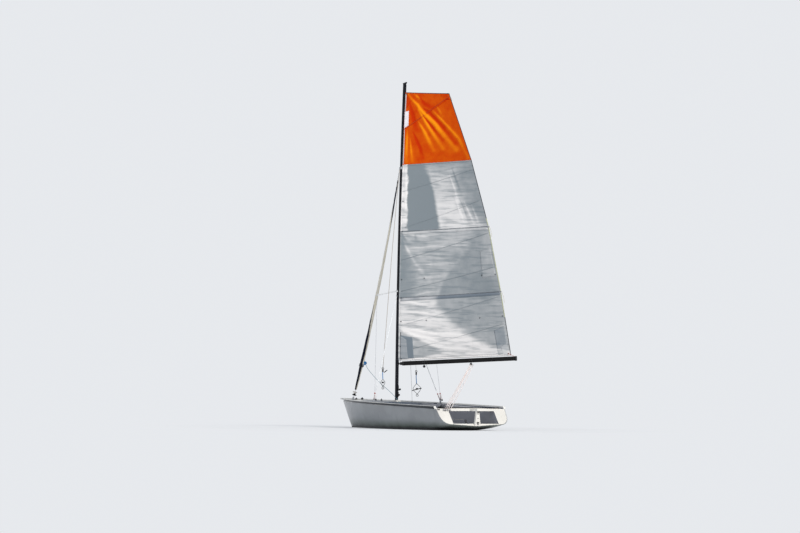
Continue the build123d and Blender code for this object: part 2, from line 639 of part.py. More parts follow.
tongue = Cylinder(GOOSENECK_EYE_R, GOOSENECK_TONGUE)
tongue += Pos(BOOM_START / 2, 0, 0) * Box(BOOM_START + 8, 2 * GOOSENECK_EYE_R, GOOSENECK_TONGUE)
tongue -= Cylinder(GOOSENECK_PIN_R + GOOSENECK_PIN_FIT, 200)
tongue -= Pos(-60, 0, 0) * Box(60 * 2 - 2 * GOOSENECK_EYE_R, 100, 100)
spar = Pos(BOOM_START, 0, 0) * extrude(
    Plane.YZ * RectangleRounded(BOOM_WIDTH, BOOM_DEPTH, BOOM_CORNER), BOOM_LENGTH - BOOM_START
)
boom = single(on_boom(spar) + swung(at_goose(tongue)))
cap_form = RectangleRounded(
    BOOM_WIDTH + 2 * END_CAP_LIP, BOOM_DEPTH + 2 * END_CAP_LIP, BOOM_CORNER + END_CAP_LIP
)
end_cap = Pos(BOOM_LENGTH, 0, 0) * extrude(Plane.YZ * cap_form, END_CAP)
boom_end_cap = on_boom(single(end_cap))
boom_blocks = []
for at in (SHEET_BLOCK_AT, MID_BLOCK_AT):
    centre = -BOOM_DEPTH / 2 - BLOCK_DROP
    shell = Plane.XZ * Circle(BLOCK_R)
    body = Pos(at, 0, centre) * extrude(shell, BLOCK_THICK / 2, both=True)
    body += Pos(at, 0, centre / 2 - BOOM_DEPTH / 4) * Box(12, STRAP_THICK * 2, BLOCK_DROP)
    boom_blocks.append(single(on_boom(body)))


def sail_frame(share, rise, chord, belly):
    """Luff, belly and leech points of one row of the sail, and the direction its belly faces."""
    base = axis_foot + (axis_head - axis_foot) * share
    swing = radians(BOOM_SWING + SAIL_TWIST * share)
    aft = Vector(-cos(swing), -sin(swing), 0)
    lee = Vector(sin(swing), -cos(swing), 0)
    bow = mast_x(base.Z) - AXIS_OFF - base.X
    luff = base - aft * (LUFF_FORWARD + max(bow, 0.0))
    leech = base + aft * chord + Vector(0, 0, rise)
    middle = (luff + leech) * 0.5 + lee * (belly * chord)
    return luff, middle, leech, lee


def sail_wire(row):
    luff, middle, leech, lee = sail_frame(*row)
    step = lee * (CLOTH / 2)
    return Wire([
        Edge.make_three_point_arc(luff + step, middle + step, leech + step),
        Edge.make_line(leech + step, leech - step),
        Edge.make_three_point_arc(leech - step, middle - step, luff - step),
        Edge.make_line(luff - step, luff + step),
    ])


battens = []
for row in SAIL_STATIONS[1:3] + SAIL_STATIONS[4:5]:
    luff, middle, leech, lee = sail_frame(*row)
    line = Edge.make_three_point_arc(luff, middle, leech)
    start = Plane(origin=line @ 0, z_dir=line % 0)
    battens.append(single(sweep(start * Circle(BATTEN_R), path=line)))
lower_sail = Solid.make_loft([sail_wire(row) for row in SAIL_STATIONS[:ORANGE_FROM + 1]], True)
upper_sail = Solid.make_loft([sail_wire(row) for row in SAIL_STATIONS[ORANGE_FROM:]], True)
for batten in battens[:2]:
    lower_sail = lower_sail - batten
mainsail_white = single(lower_sail)
mainsail_orange = single(upper_sail - battens[2])

# Cockpit and mast fittings
hatch_covers, toe_straps, jib_tracks, mast_cleats = [], [], [], []
for side in (1, -1):
    centre = (BULKHEAD_X, side * HATCH_Y, HATCH_Z)
    back = (BULKHEAD_X - HATCH_THICK, side * HATCH_Y, HATCH_Z)
    lid = rod(centre, back, HATCH_R)
    lid += rod(back, (back[0] - 8, back[1], back[2]), HATCH_R - HATCH_RIM)
    lid += rod((back[0] - 8, back[1], back[2]), (back[0] - 22, back[1], back[2]), HATCH_KNOB_R)
    hatch_covers.append(single(lid))
    fore, aft, rise = TOE_STRAP_FORE_X, TOE_STRAP_AFT_X, TOE_STRAP_Z
    strap = extrude(
        Plane.XZ * make_face(Polyline(
            (fore, FLOOR_Z), (fore - STRAP_POST, rise + TOE_STRAP_THICK),
            (aft + STRAP_POST, rise + TOE_STRAP_THICK), (aft, FLOOR_Z),
            (aft + TOE_STRAP_THICK * 2, FLOOR_Z), (aft + STRAP_POST + 4, rise),
            (fore - STRAP_POST - 4, rise), (fore - TOE_STRAP_THICK * 2, FLOOR_Z), close=True,
        )),
        STRAP_WIDTH / 2, both=True,
    )
    toe_straps.append(single(Pos(0, side * TOE_STRAP_Y, 0) * strap))
    y = side * (TANK_WALL_Y + TANK_EDGE_R + JIB_TRACK_INBOARD)
    z = deck_z(JIB_TRACK_X, y)
    rail = block((JIB_TRACK_X - JIB_TRACK_LENGTH / 2, y - JIB_TRACK_WIDTH / 2, z - 12),
                 (JIB_TRACK_X + JIB_TRACK_LENGTH / 2, y + JIB_TRACK_WIDTH / 2, z + JIB_TRACK_HEIGHT))
    jib_tracks.append(single(rail - OUTER))
for z in CLEAT_HEIGHTS:
    x = mast_x(z) - MAST_RX
    horn = block((x - CLEAT_STAND - CLEAT_BAR, -CLEAT_BAR / 2, z - CLEAT_LENGTH / 2),
                 (x - CLEAT_STAND, CLEAT_BAR / 2, z + CLEAT_LENGTH / 2))
    horn += block((x - CLEAT_STAND, -CLEAT_BAR, z - 20), (x + 20, CLEAT_BAR, z + 20))
    mast_cleats.append(single(horn - mast_form))

nodes = {
    "hull_moulding": hull_moulding,
    "bow_tank": bow_tank,
    "side_tank_port": side_tank,
    "side_tank_starboard": mirrored(side_tank),
    "cockpit_floor": cockpit_floor,
    "transom_beam": transom_beam,
    "gunwale_strake": gunwale,
    "rudder_post": rudder_post,
    "gudgeons": Compound(gudgeons),
    "mainsheet_track": mainsheet_track,
    "mainsheet_car": mainsheet_car,
    "centreboard_case": centreboard_case,
    "centreboard_pin": pin,
    "centreboard": centreboard,
    "mast_step": mast_step,
    "mast": mast,
    "masthead_fitting": masthead,
    "hounds_fitting": hounds,
    "lower_tangs": Compound(lower_tangs),
    "spreaders": Compound(spreaders),
    "shroud_port": shrouds[0],
    "shroud_starboard": shrouds[1],
    "lower_shrouds": Compound(lower_shrouds),
    "chainplates": Compound(chainplates),
    "forestay": Compound(stay_wires),
    "bow_fitting": bow_fitting,
    "furler_drum": furler_drum,
    "furler_swivel": furler_swivel,
    "furled_jib": furled_jib,
    "gooseneck_bracket": gooseneck,
    "boom": boom,
    "boom_end_cap": boom_end_cap,
    "boom_blocks": Compound(boom_blocks),
    "mainsail_lower": mainsail_white,
    "mainsail_head": mainsail_orange,
    "battens": Compound(battens),
    "hatch_covers": Compound(hatch_covers),
    "toe_straps": Compound(toe_straps),
    "jib_tracks": Compound(jib_tracks),
    "mast_cleats": Compound(mast_cleats),
}
for name, shape in nodes.items():
    export_step(shape, f"parts/{name}.step")
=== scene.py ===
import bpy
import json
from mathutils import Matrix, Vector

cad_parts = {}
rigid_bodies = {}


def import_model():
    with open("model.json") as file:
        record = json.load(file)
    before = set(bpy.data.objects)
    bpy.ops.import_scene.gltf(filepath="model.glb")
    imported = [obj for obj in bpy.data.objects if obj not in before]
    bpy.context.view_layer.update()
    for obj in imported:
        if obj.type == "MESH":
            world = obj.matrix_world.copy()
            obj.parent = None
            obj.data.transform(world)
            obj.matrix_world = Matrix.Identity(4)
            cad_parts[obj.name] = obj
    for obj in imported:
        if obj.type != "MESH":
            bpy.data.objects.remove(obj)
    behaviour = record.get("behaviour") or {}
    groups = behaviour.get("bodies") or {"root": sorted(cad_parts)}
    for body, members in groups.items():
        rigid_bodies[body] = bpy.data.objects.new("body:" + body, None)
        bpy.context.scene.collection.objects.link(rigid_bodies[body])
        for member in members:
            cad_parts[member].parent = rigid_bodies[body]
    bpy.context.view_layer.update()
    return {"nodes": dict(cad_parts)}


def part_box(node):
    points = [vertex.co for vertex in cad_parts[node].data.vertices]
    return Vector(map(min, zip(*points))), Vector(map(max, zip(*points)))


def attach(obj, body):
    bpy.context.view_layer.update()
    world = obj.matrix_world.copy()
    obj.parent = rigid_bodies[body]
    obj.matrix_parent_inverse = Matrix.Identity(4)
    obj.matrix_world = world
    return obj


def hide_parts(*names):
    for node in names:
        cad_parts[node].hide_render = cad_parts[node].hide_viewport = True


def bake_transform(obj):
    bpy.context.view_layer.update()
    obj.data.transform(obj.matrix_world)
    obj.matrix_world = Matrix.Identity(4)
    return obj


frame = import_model()

import json
from math import cos, exp, pi, radians, sin, tau

import bmesh
import bpy
from bpy.props import FloatProperty, FloatVectorProperty, IntProperty, PointerProperty
from mathutils import Matrix, Vector, noise
from mathutils.geometry import intersect_point_line

bl_info = {
    "name": "Two-handed sailing dinghy",
    "version": (1, 0, 0),
    "blender": (4, 5, 0),
    "location": "3D View > Sidebar > Dinghy",
    "description": "Dresses the frame of a sailing dinghy with cloth, rope, fittings and finishes",
    "category": "Object",
}

# Rig, in metres, with the same values as the frame
MAST_X, MAST_BEND, MAST_FOOT_Z, MAST_TOP_Z = 0.380, 0.152, 0.526, 6.640
MAST_RX, MAST_RY = 0.035, 0.029
GOOSENECK_Z, HEAD_Z, AXIS_OFF = 1.250, 6.478, 0.057
BOOM_SWING, BOOM_LIFT, SAIL_TWIST = 36.6, 2.77, 7.0
BOOM_LENGTH, BOOM_DEPTH = 2.340, 0.082
LUFF_FORWARD = 0.012
# columns: share of the luff, rise of the leech over the luff, chord, belly as a share of the chord
SAIL_ROWS = [
    (0.0115, 0.121, 2.251, 0.020),
    (0.2420, 0.141, 2.000, 0.045),
    (0.4868, 0.111, 1.707, 0.050),
    (0.7330, 0.097, 1.323, 0.045),
    (0.8629, 0.655, 0.872, 0.030),
    (1.0000, -0.023, 0.849, 0.026),
]
SEAM = 3
HOUNDS_Z = 5.022
CHAINPLATE = Vector((0.025, 0.792, 0.56))
STAY_FOOT_X, STAY_SAG, STAY_HEAD_GAP = 1.790, 0.088, 0.022
ROLL_SHARES = (0.037, 0.935)
# columns: share of the roll's length from its foot, radius
ROLL = [(0.0, 0.020), (0.13, 0.038), (0.30, 0.033), (0.62, 0.025), (1.0, 0.011)]
SHEER_AFT_Z, SHEER_SLOPE, TRANSOM_X = 0.462, 0.0249, -1.948

# Where one finish gives way to the next, in metres: full for the first, full for the second
# The hull's olive band and its near black band at the waterline: partly growth, partly painted shade and reflection
# where the bilge turns under
WEED_AND_SHADE_Z, BILGE_GROWTH_AND_SHADE_Z = (0.25, 0.08), (0.125, 0.055)
# Where the painted shade begins on the well's walls and the side decks
WELL_SIDE_Y, DECK_EDGE_Y, DECK_END_X = (0.590, 0.582), (0.800, 0.795), (-1.885, -1.880)
# Where the painted shade begins on the bow tank's bulkhead and aft deck
BULKHEAD_X, BULKHEAD_FOOT_Z, FOREDECK_SHADE_X = (0.304, 0.301), (0.47, 0.44), (1.125, 1.115)
FLOOR_RIM_X, FLOOR_TOP_Z = (-2.125, -2.140), (0.122, 0.127)
# Drops below the sheer where the dark outer face, with its painted shadow, and the painted shade inside begin
RUBBER_SHADOW_DROP, RAIL_DROP = (0.004, 0.007), (0.025, 0.028)
DRUM_WHITE_Z, BATTEN_ORANGE_Z, STRAP_DARK_X = (0.655, 0.665), (5.2, 5.3), (-1.36, -1.38)
# How far a face has to look upwards to be taken for a deck
DECK_FACING = (0.80, 0.90)

# Folds in the cloth, each along a line on the sail.
# columns: height, half width, points as (station up the sail, share across it)
ORANGE_FOLDS = [
    (0.0090, 0.042, [(4.95, 0.06), (4.56, 0.28), (4.00, 0.45), (3.74, 0.59), (3.51, 0.68), (3.20, 0.82)]),
    (0.0075, 0.032, [(4.37, 0.30), (3.89, 0.43), (3.58, 0.52), (3.24, 0.63)]),
    (0.0065, 0.032, [(3.93, 0.31), (3.66, 0.39), (3.25, 0.48)]),
    (0.0055, 0.030, [(3.91, 0.07), (3.07, 0.05)]),
    (0.0045, 0.024, [(3.67, 0.12), (3.06, 0.14)]),
    (0.0050, 0.028, [(3.97, 0.61), (3.77, 0.71), (3.36, 0.91), (3.05, 0.96)]),
    (0.0040, 0.026, [(4.96, 0.19), (4.72, 0.37)]),
    (0.0030, 0.022, [(4.01, 0.70), (3.78, 0.76)]),
    (-0.0055, 0.028, [(4.30, 0.42), (3.95, 0.55), (3.70, 0.67), (3.30, 0.83)]),
    (-0.0050, 0.024, [(4.30, 0.33), (3.95, 0.43), (3.70, 0.53), (3.40, 0.66)]),
    (-0.0045, 0.035, [(4.70, 0.10), (4.20, 0.20), (3.80, 0.25)]),
    (-0.0040, 0.030, [(3.80, 0.18), (3.40, 0.27), (3.15, 0.30)]),
    (-0.0035, 0.035, [(4.90, 0.30), (4.50, 0.44), (4.10, 0.62)]),
]
WHITE_FOLDS = [
    (0.0080, 0.038, [(0.50, 0.02), (0.35, 0.17), (0.22, 0.30)]),
    (0.0070, 0.040, [(0.51, 0.02), (0.40, 0.29), (0.34, 0.62)]),
    (-0.0075, 0.034, [(0.56, 0.01), (0.48, 0.25), (0.44, 0.52)]),
    (0.0065, 0.034, [(0.39, 0.13), (0.26, 0.37), (0.21, 0.71)]),
    (0.0055, 0.034, [(0.17, 0.35), (0.13, 0.61), (0.09, 0.98)]),
    (0.0045, 0.028, [(0.08, 0.38), (0.04, 0.68), (0.03, 0.97)]),
    (-0.0045, 0.028, [(0.21, 0.42), (0.17, 0.61), (0.14, 0.77)]),
    (0.0055, 0.026, [(0.97, 0.01), (0.89, 0.17), (0.88, 0.34)]),
    (0.0050, 0.028, [(0.61, 0.02), (0.63, 0.21), (0.58, 0.47)]),
    (0.0045, 0.024, [(0.78, 0.02), (0.71, 0.38)]),
    (-0.0045, 0.024, [(0.70, 0.01), (0.66, 0.43)]),
    (-0.0040, 0.020, [(0.84, 0.01), (0.80, 0.30)]),
    (0.0060, 0.022, [(1.98, 0.02), (1.86, 0.09)]),
    (0.0055, 0.024, [(1.81, 0.04), (1.62, 0.11)]),
    (-0.0045, 0.035, [(1.97, 0.16), (1.82, 0.17)]),
    (0.0042, 0.030, [(1.97, 0.00), (1.55, 0.14), (1.14, 0.33)]),
    (0.0050, 0.028, [(1.98, 0.02), (1.91, 0.21), (1.91, 0.49)]),
    (0.0045, 0.022, [(1.74, 0.07), (1.75, 0.33), (1.74, 0.68)]),
    (-0.0045, 0.022, [(1.68, 0.13), (1.67, 0.38), (1.64, 0.63)]),
    (0.0045, 0.022, [(1.45, 0.14), (1.48, 0.32), (1.47, 0.55)]),
    (0.0035, 0.022, [(1.28, 0.20), (1.29, 0.37), (1.30, 0.46)]),
    (0.0050, 0.024, [(1.02, 0.15), (1.06, 0.26), (1.07, 0.38)]),
    (-0.0060, 0.026, [(2.90, 0.69), (2.69, 0.72), (2.50, 0.75)]),
    (0.0060, 0.026, [(2.82, 0.64), (2.58, 0.68), (2.30, 0.70)]),
    (0.0065, 0.022, [(2.39, 0.77), (2.18, 0.81), (2.03, 0.83)]),
    (0.0055, 0.022, [(2.36, 0.85), (2.13, 0.88), (2.03, 0.89)]),
    (-0.0055, 0.022, [(2.44, 0.72), (2.22, 0.76), (2.02, 0.78)]),
    (0.0045, 0.024, [(2.50, 0.66), (2.22, 0.70), (2.04, 0.72)]),
    (0.0060, 0.030, [(2.93, 0.05), (2.52, 0.06), (2.07, 0.05)]),
]
# Where the low sun lies on the white cloth.
# columns: station, left edge, its softness, right edge, its softness, strength
LIT_CLOTH = [
    (0.00, 0.10, 0.04, 1.05, 0.04, 0.80), (0.03, 0.17, 0.04, 1.05, 0.04, 0.80), (0.08, 0.38, 0.06, 1.00, 0.05, 0.42),
    (0.14, 0.37, 0.04, 0.88, 0.10, 0.50), (0.21, 0.30, 0.03, 0.73, 0.08, 0.85), (0.27, 0.25, 0.03, 0.69, 0.08, 0.95),
    (0.35, 0.16, 0.03, 0.63, 0.08, 0.95), (0.46, 0.03, 0.03, 0.56, 0.08, 0.80), (0.54, 0.01, 0.02, 0.50, 0.06, 0.50),
    (0.61, 0.01, 0.02, 0.47, 0.06, 0.55), (0.71, 0.01, 0.02, 0.44, 0.08, 0.50), (0.85, 0.01, 0.02, 0.35, 0.04, 0.40),
    (0.99, 0.01, 0.02, 0.36, 0.03, 0.50), (1.01, 0.13, 0.08, 0.39, 0.02, 0.34), (1.12, 0.15, 0.08, 0.41, 0.02, 0.30),
    (1.25, 0.16, 0.08, 0.46, 0.02, 0.28), (1.38, 0.15, 0.09, 0.53, 0.03, 0.28), (1.51, 0.14, 0.09, 0.62, 0.03, 0.30),
    (1.66, 0.11, 0.08, 0.71, 0.04, 0.30), (1.79, 0.09, 0.08, 0.77, 0.05, 0.30), (1.89, 0.05, 0.05, 0.81, 0.06, 0.28),
    (1.99, 0.02, 0.03, 0.86, 0.08, 0.28), (2.01, 0.43, 0.03, 0.96, 0.10, 0.70), (2.09, 0.43, 0.03, 0.91, 0.15, 0.74),
    (2.39, 0.41, 0.03, 0.78, 0.22, 0.70), (2.54, 0.40, 0.03, 0.76, 0.24, 0.60), (2.74, 0.37, 0.03, 0.77, 0.24, 0.52),
    (2.84, 0.35, 0.04, 0.80, 0.26, 0.45), (2.93, 0.32, 0.06, 0.88, 0.22, 0.32), (3.00, 0.30, 0.08, 0.92, 0.20, 0.25),
]
# Tone of the white cloth in the shade, for each panel: before the lit field and aft of it
SHADE_TONES = [(0.42, 0.34), (0.16, 0.27), (0.02, 0.20)]
# Tone of the lit white cloth, of the lit band behind the mast, how much lighter the painted shade grows towards the
# leech, and how wide that band is
LIT_TONE, LUFF_TONE, LEECH_TONE, LUFF_BAND = 0.95, 0.8, 0.07, 0.078
# Tone of the flat orange cloth, and the painted light that a metre of fold adds to either cloth: a painted highlight
# on raised folds, painted shade in hollow ones
ORANGE_TONE, ORANGE_FOLD_TONE, WHITE_FOLD_TONE = 0.27, 80, 34
# Heights of the small ripples, and of the cloth's broad unevenness
RIPPLE_HEIGHT, WHITE_UNEVEN, ORANGE_UNEVEN = 0.0016, 0.0030, 0.0022


FORE, PORT, UP = Vector((1, 0, 0)), Vector((0, 1, 0)), Vector((0, 0, 1))


# Shapes of the rig

def mast_x(z):
    """The bent mast's middle line."""
    share = (z - MAST_FOOT_Z) / (MAST_TOP_Z - MAST_FOOT_Z)
    return MAST_X - MAST_BEND * share * share


AXIS_FOOT = Vector((mast_x(GOOSENECK_Z) - AXIS_OFF, 0, GOOSENECK_Z))
AXIS_HEAD = Vector((mast_x(HEAD_Z) - AXIS_OFF, 0, HEAD_Z))
SWING = Matrix.Rotation(radians(BOOM_SWING), 3, (AXIS_HEAD - AXIS_FOOT).normalized())


def on_boom(along, side, up):
    """A point by its distance along the boom, to its side and above its middle."""
    lift = radians(BOOM_LIFT)
    place = Vector((-cos(lift), 0, sin(lift))) * along + Vector((sin(lift), 0, cos(lift))) * up
    return AXIS_FOOT + SWING @ (place + Vector((0, -side, 0)))


def sail_row(share, rise, chord, belly):
    """Luff, belly and leech points of one row of the sail."""
    base = AXIS_FOOT.lerp(AXIS_HEAD, share)
    swing = radians(BOOM_SWING + SAIL_TWIST * share)
    aft, lee = Vector((-cos(swing), -sin(swing), 0)), Vector((sin(swing), -cos(swing), 0))
    bow = mast_x(base.z) - AXIS_OFF - base.x
    luff = base - aft * (LUFF_FORWARD + max(bow, 0.0))
    leech = base + aft * chord + UP * rise
    return luff, (luff + leech) / 2 + lee * (belly * chord), leech


ROWS = [sail_row(*row) for row in SAIL_ROWS]


def sail_base(station, across):
    """A point of the smooth sail: stations count the rows upwards, across goes from luff to leech."""
    low = min(max(int(station), 0), len(ROWS) - 2)
    points = []
    for luff, middle, leech in ROWS[low:low + 2]:
        straight = luff.lerp(leech, across)
        points.append(straight + (middle - (luff + leech) / 2) * (4 * across * (1 - across)))
    return points[0].lerp(points[1], station - low)


def sail_slopes(station, across):
    """How the smooth sail's surface runs upwards and across at a place, and the way it faces to windward."""
    step = 0.004
    low = min(max(station, 0.0), len(ROWS) - 1 - step)
    up = (sail_base(low + step, across) - sail_base(low, across)) / step
    aside = (sail_base(station, across + step) - sail_base(station, across - step)) / (2 * step)
    return up, aside, aside.cross(up).normalized()


def fold_lines(folds):
    """The folds' lines in space, cut into short runs that follow the cloth."""
    lines = []
    for height, width, points in folds:
        run = []
        for (s0, u0), (s1, u1) in zip(points, points[1:]):
            run += [sail_base(s0 + (s1 - s0) * k / 3, u0 + (u1 - u0) * k / 3) for k in range(3)]
        run.append(sail_base(*points[-1]))
        low, high = min(p[0] for p in points) - 0.12, max(p[0] for p in points) + 0.12
        lines.append((height, width, low, high, run))
    return lines


ORANGE_LINES, WHITE_LINES = fold_lines(ORANGE_FOLDS), fold_lines(WHITE_FOLDS)


def fold_height(lines, station, point):
    """Height of the drawn folds at a place, soft on both sides of each line."""
    total = 0.0
    for height, width, low, high, run in lines:
        if not low < station < high:
            continue
        nearest, share_along = 1.0, 0.0
        for index, (start, end) in enumerate(zip(run, run[1:])):
            foot, share = intersect_point_line(point, start, end)
            share = min(max(share, 0.0), 1.0)
            gap = (point - start.lerp(end, share)).length
            if gap < nearest:
                nearest, share_along = gap, (index + share) / (len(run) - 1)
        reach = nearest / (width * (0.45 + 0.9 * share_along))
        if reach < 3:
            total += height * exp(-reach * reach) * (0.35 + 0.65 * sin(pi * min(share_along * 1.15, 1.0)))
    return total


def ripple(station, across, point):
    """Small level ripples where the white cloth hangs slack behind the mast."""
    left, _, right = table_row(LIT_CLOTH, station)[:3]
    slack = soft_step(across, left - 0.05, left + 0.06) * (1 - soft_step(across, right - 0.08, right + 0.05))
    from_batten = min(station % 1, 1 - station % 1)
    drift = wander(point.x * 1.9, point.y * 1.9, point.z * 1.6) * 7
    level = sin(point.z * 74 + across * 5 + drift) + 0.7 * sin(point.z * 118 - across * 7 + drift * 1.7)
    patchy = max(0.15, 0.55 + wander(across * 5, 3.1, point.z * 6))
    return RIPPLE_HEIGHT * level * slack * patchy * min(from_batten * 12, 1)


def wander(x, y, z):
    """A soft uneven value round 0, always the same at the same place."""
    return noise.noise(Vector((x, y, z)))


def soft_step(value, low, high):
    """0 below low, 1 above high, soft between."""
    share = min(max((value - low) / (high - low), 0.0), 1.0)
    return share * share * (3 - 2 * share)


def between(start, end, share):
    """Values a share of the way from one place on the sail, or one table row, to the next."""
    return [a + (b - a) * share for a, b in zip(start, end)]


def table_row(table, place):
    """The values at a place between the rows of a table, which has the place in its first column."""
    for low, high in zip(table, table[1:]):
        if place <= high[0]:
            return between(low[1:], high[1:], (place - low[0]) / (high[0] - low[0]))
    return table[-1][1:]


def ragged(softness):
    """How far the edge of the light wanders: a sharp edge runs true, a soft one in fingers."""
    return min(0.35 * softness + max(softness - 0.05, 0.0), 0.065)


def cloth_tone(station, across, height=0.0):
    """How light the cloth is at a place: 0 in the shade, 1 in the low sun."""
    point = sail_base(station, across)
    if station > SEAM:
        return ORANGE_TONE + ORANGE_FOLD_TONE * fold_height(ORANGE_LINES, station, point)
    left, soft_left, right, soft_right, strength = table_row(LIT_CLOTH, station)
    wisp = wander(across * 2.2, 1.7, point.z * 17)
    lit = soft_step(across + wisp * ragged(soft_left), left - soft_left, left + soft_left)
    lit *= 1 - soft_step(across + wisp * ragged(soft_right), right - soft_right, right + soft_right)
    edge = LUFF_BAND + 0.020 * wander(0.3, 2.1, point.z * 8)
    edge += 0.008 * wander(4, 1, point.z * 29)
    luff = LUFF_TONE * (1 - soft_step(across, edge - 0.014, edge + 0.014)) if station > 2 else 0.0
    luff *= 0.86 + 0.5 * wander(across * 9, 7.7, point.z * 11)
    fore, aft = SHADE_TONES[min(int(station), 2)]
    shade = fore + (aft - fore) * soft_step(across, right - soft_right, right + soft_right)
    shade += LEECH_TONE * soft_step(across, 0.80, 1.0)
    return shade + (LIT_TONE - shade) * max(lit * strength, luff) + WHITE_FOLD_TONE * height


def cloth_height(station, across):
    """How far the folded cloth stands to windward of the smooth sail."""
    point = sail_base(station, across)
    if station > SEAM:
        depth = fold_height(ORANGE_LINES, station, point)
        depth += ORANGE_UNEVEN * wander(across * 9, station * 2.2, 0.7)
    else:
        depth = fold_height(WHITE_LINES, station, point) + ripple(station, across, point)
        depth += WHITE_UNEVEN * wander(across * 4, station * 3.0, 4.2)
    return depth * soft_step(across, 0.0, 0.02) * (1 - soft_step(across, 0.985, 1.0) * 0.7)


def on_cloth(station, across, off=0.0):
    """A point of the folded cloth, or off it to windward."""
    facing = sail_slopes(station, across)[2]
    return sail_base(station, across) + facing * (cloth_height(station, across) + off)


def stay_point(share):
    """The sagging forestay from its foot to the hounds."""
    head = Vector((mast_x(HOUNDS_Z) + MAST_RX + STAY_HEAD_GAP, 0, HOUNDS_Z))
    along = (head - STAY_FOOT).normalized()
    sag = Vector((-along.z, 0, along.x)) * STAY_SAG
    return STAY_FOOT.lerp(head, share) + sag * (4 * share * (1 - share))


STAY_FOOT = Vector((STAY_FOOT_X, 0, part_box("bow_fitting")[1][2] - 0.010))


# Mesh helpers

def add_mesh(name, points, faces, finish, body=None, uv=None, tones=None, turn=True):
    """A piece from points and faces. tones gives each point its shade of cloth."""
    mesh = bpy.data.meshes.new(name)
    mesh.from_pydata([tuple(p) for p in points], [], faces)
    if uv:
        layer = mesh.uv_layers.new(name="UVMap")
        for loop in mesh.loops:
            layer.data[loop.index].uv = uv[loop.vertex_index]
    if tones:
        mesh.attributes.new("tone", "FLOAT", "POINT").data.foreach_set("value", tones)
    if turn:
        form = bmesh.new()
        form.from_mesh(mesh)
        bmesh.ops.recalc_face_normals(form, faces=form.faces)
        form.to_mesh(mesh)
        form.free()
    mesh.polygons.foreach_set("use_smooth", [True] * len(mesh.polygons))
    mesh.materials.append(finish)
    mesh.update()
    return link(name, mesh, body)


def link(name, data, body=None):
    """An object in the scene and the body that it rides."""
    piece = bpy.data.objects.new(name, data)
    bpy.context.scene.collection.objects.link(piece)
    if body:
        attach(piece, body)
    return piece


def around(side, other, steps):
    """Ways out from a middle, evenly all round."""
    return [side * cos(tau * k / steps) + other * sin(tau * k / steps) for k in range(steps)]


def wrap_faces(rows, sides, closed=False):
    """Faces round rows of points. closed joins the last row to the first, else both ends are capped."""
    faces = []
    for row in range(rows if closed else rows - 1):
        low, high = row * sides, (row + 1) % rows * sides
        for k in range(sides):
            turn = (k + 1) % sides
            faces.append([low + k, low + turn, high + turn, high + k])
    if not closed:
        faces += [list(range(sides))[::-1], list(range((rows - 1) * sides, rows * sides))]
    return faces


def grid_faces(rows, wide):
    """Faces of an open grid of points, with wide points in each row."""
    return [[a, a + 1, a + wide + 1, a + wide]
            for row in range(rows - 1) for a in range(row * wide, (row + 1) * wide - 1)]


def sheet_faces(rows, wide):
    """Faces of a thin closed sheet: the grid of its one side, the same of its other, and the rim."""
    layer = rows * wide
    faces = grid_faces(rows, wide)
    faces += [[layer + a, layer + d, layer + c, layer + b] for a, b, c, d in faces]
    rim = [row * wide for row in range(rows)] + [layer - wide + k for k in range(1, wide)]
    rim += [row * wide + wide - 1 for row in range(rows - 2, -1, -1)] + list(range(wide - 2, 0, -1))
    return faces + [[a, b, layer + b, layer + a] for a, b in zip(rim, rim[1:] + rim[:1])]


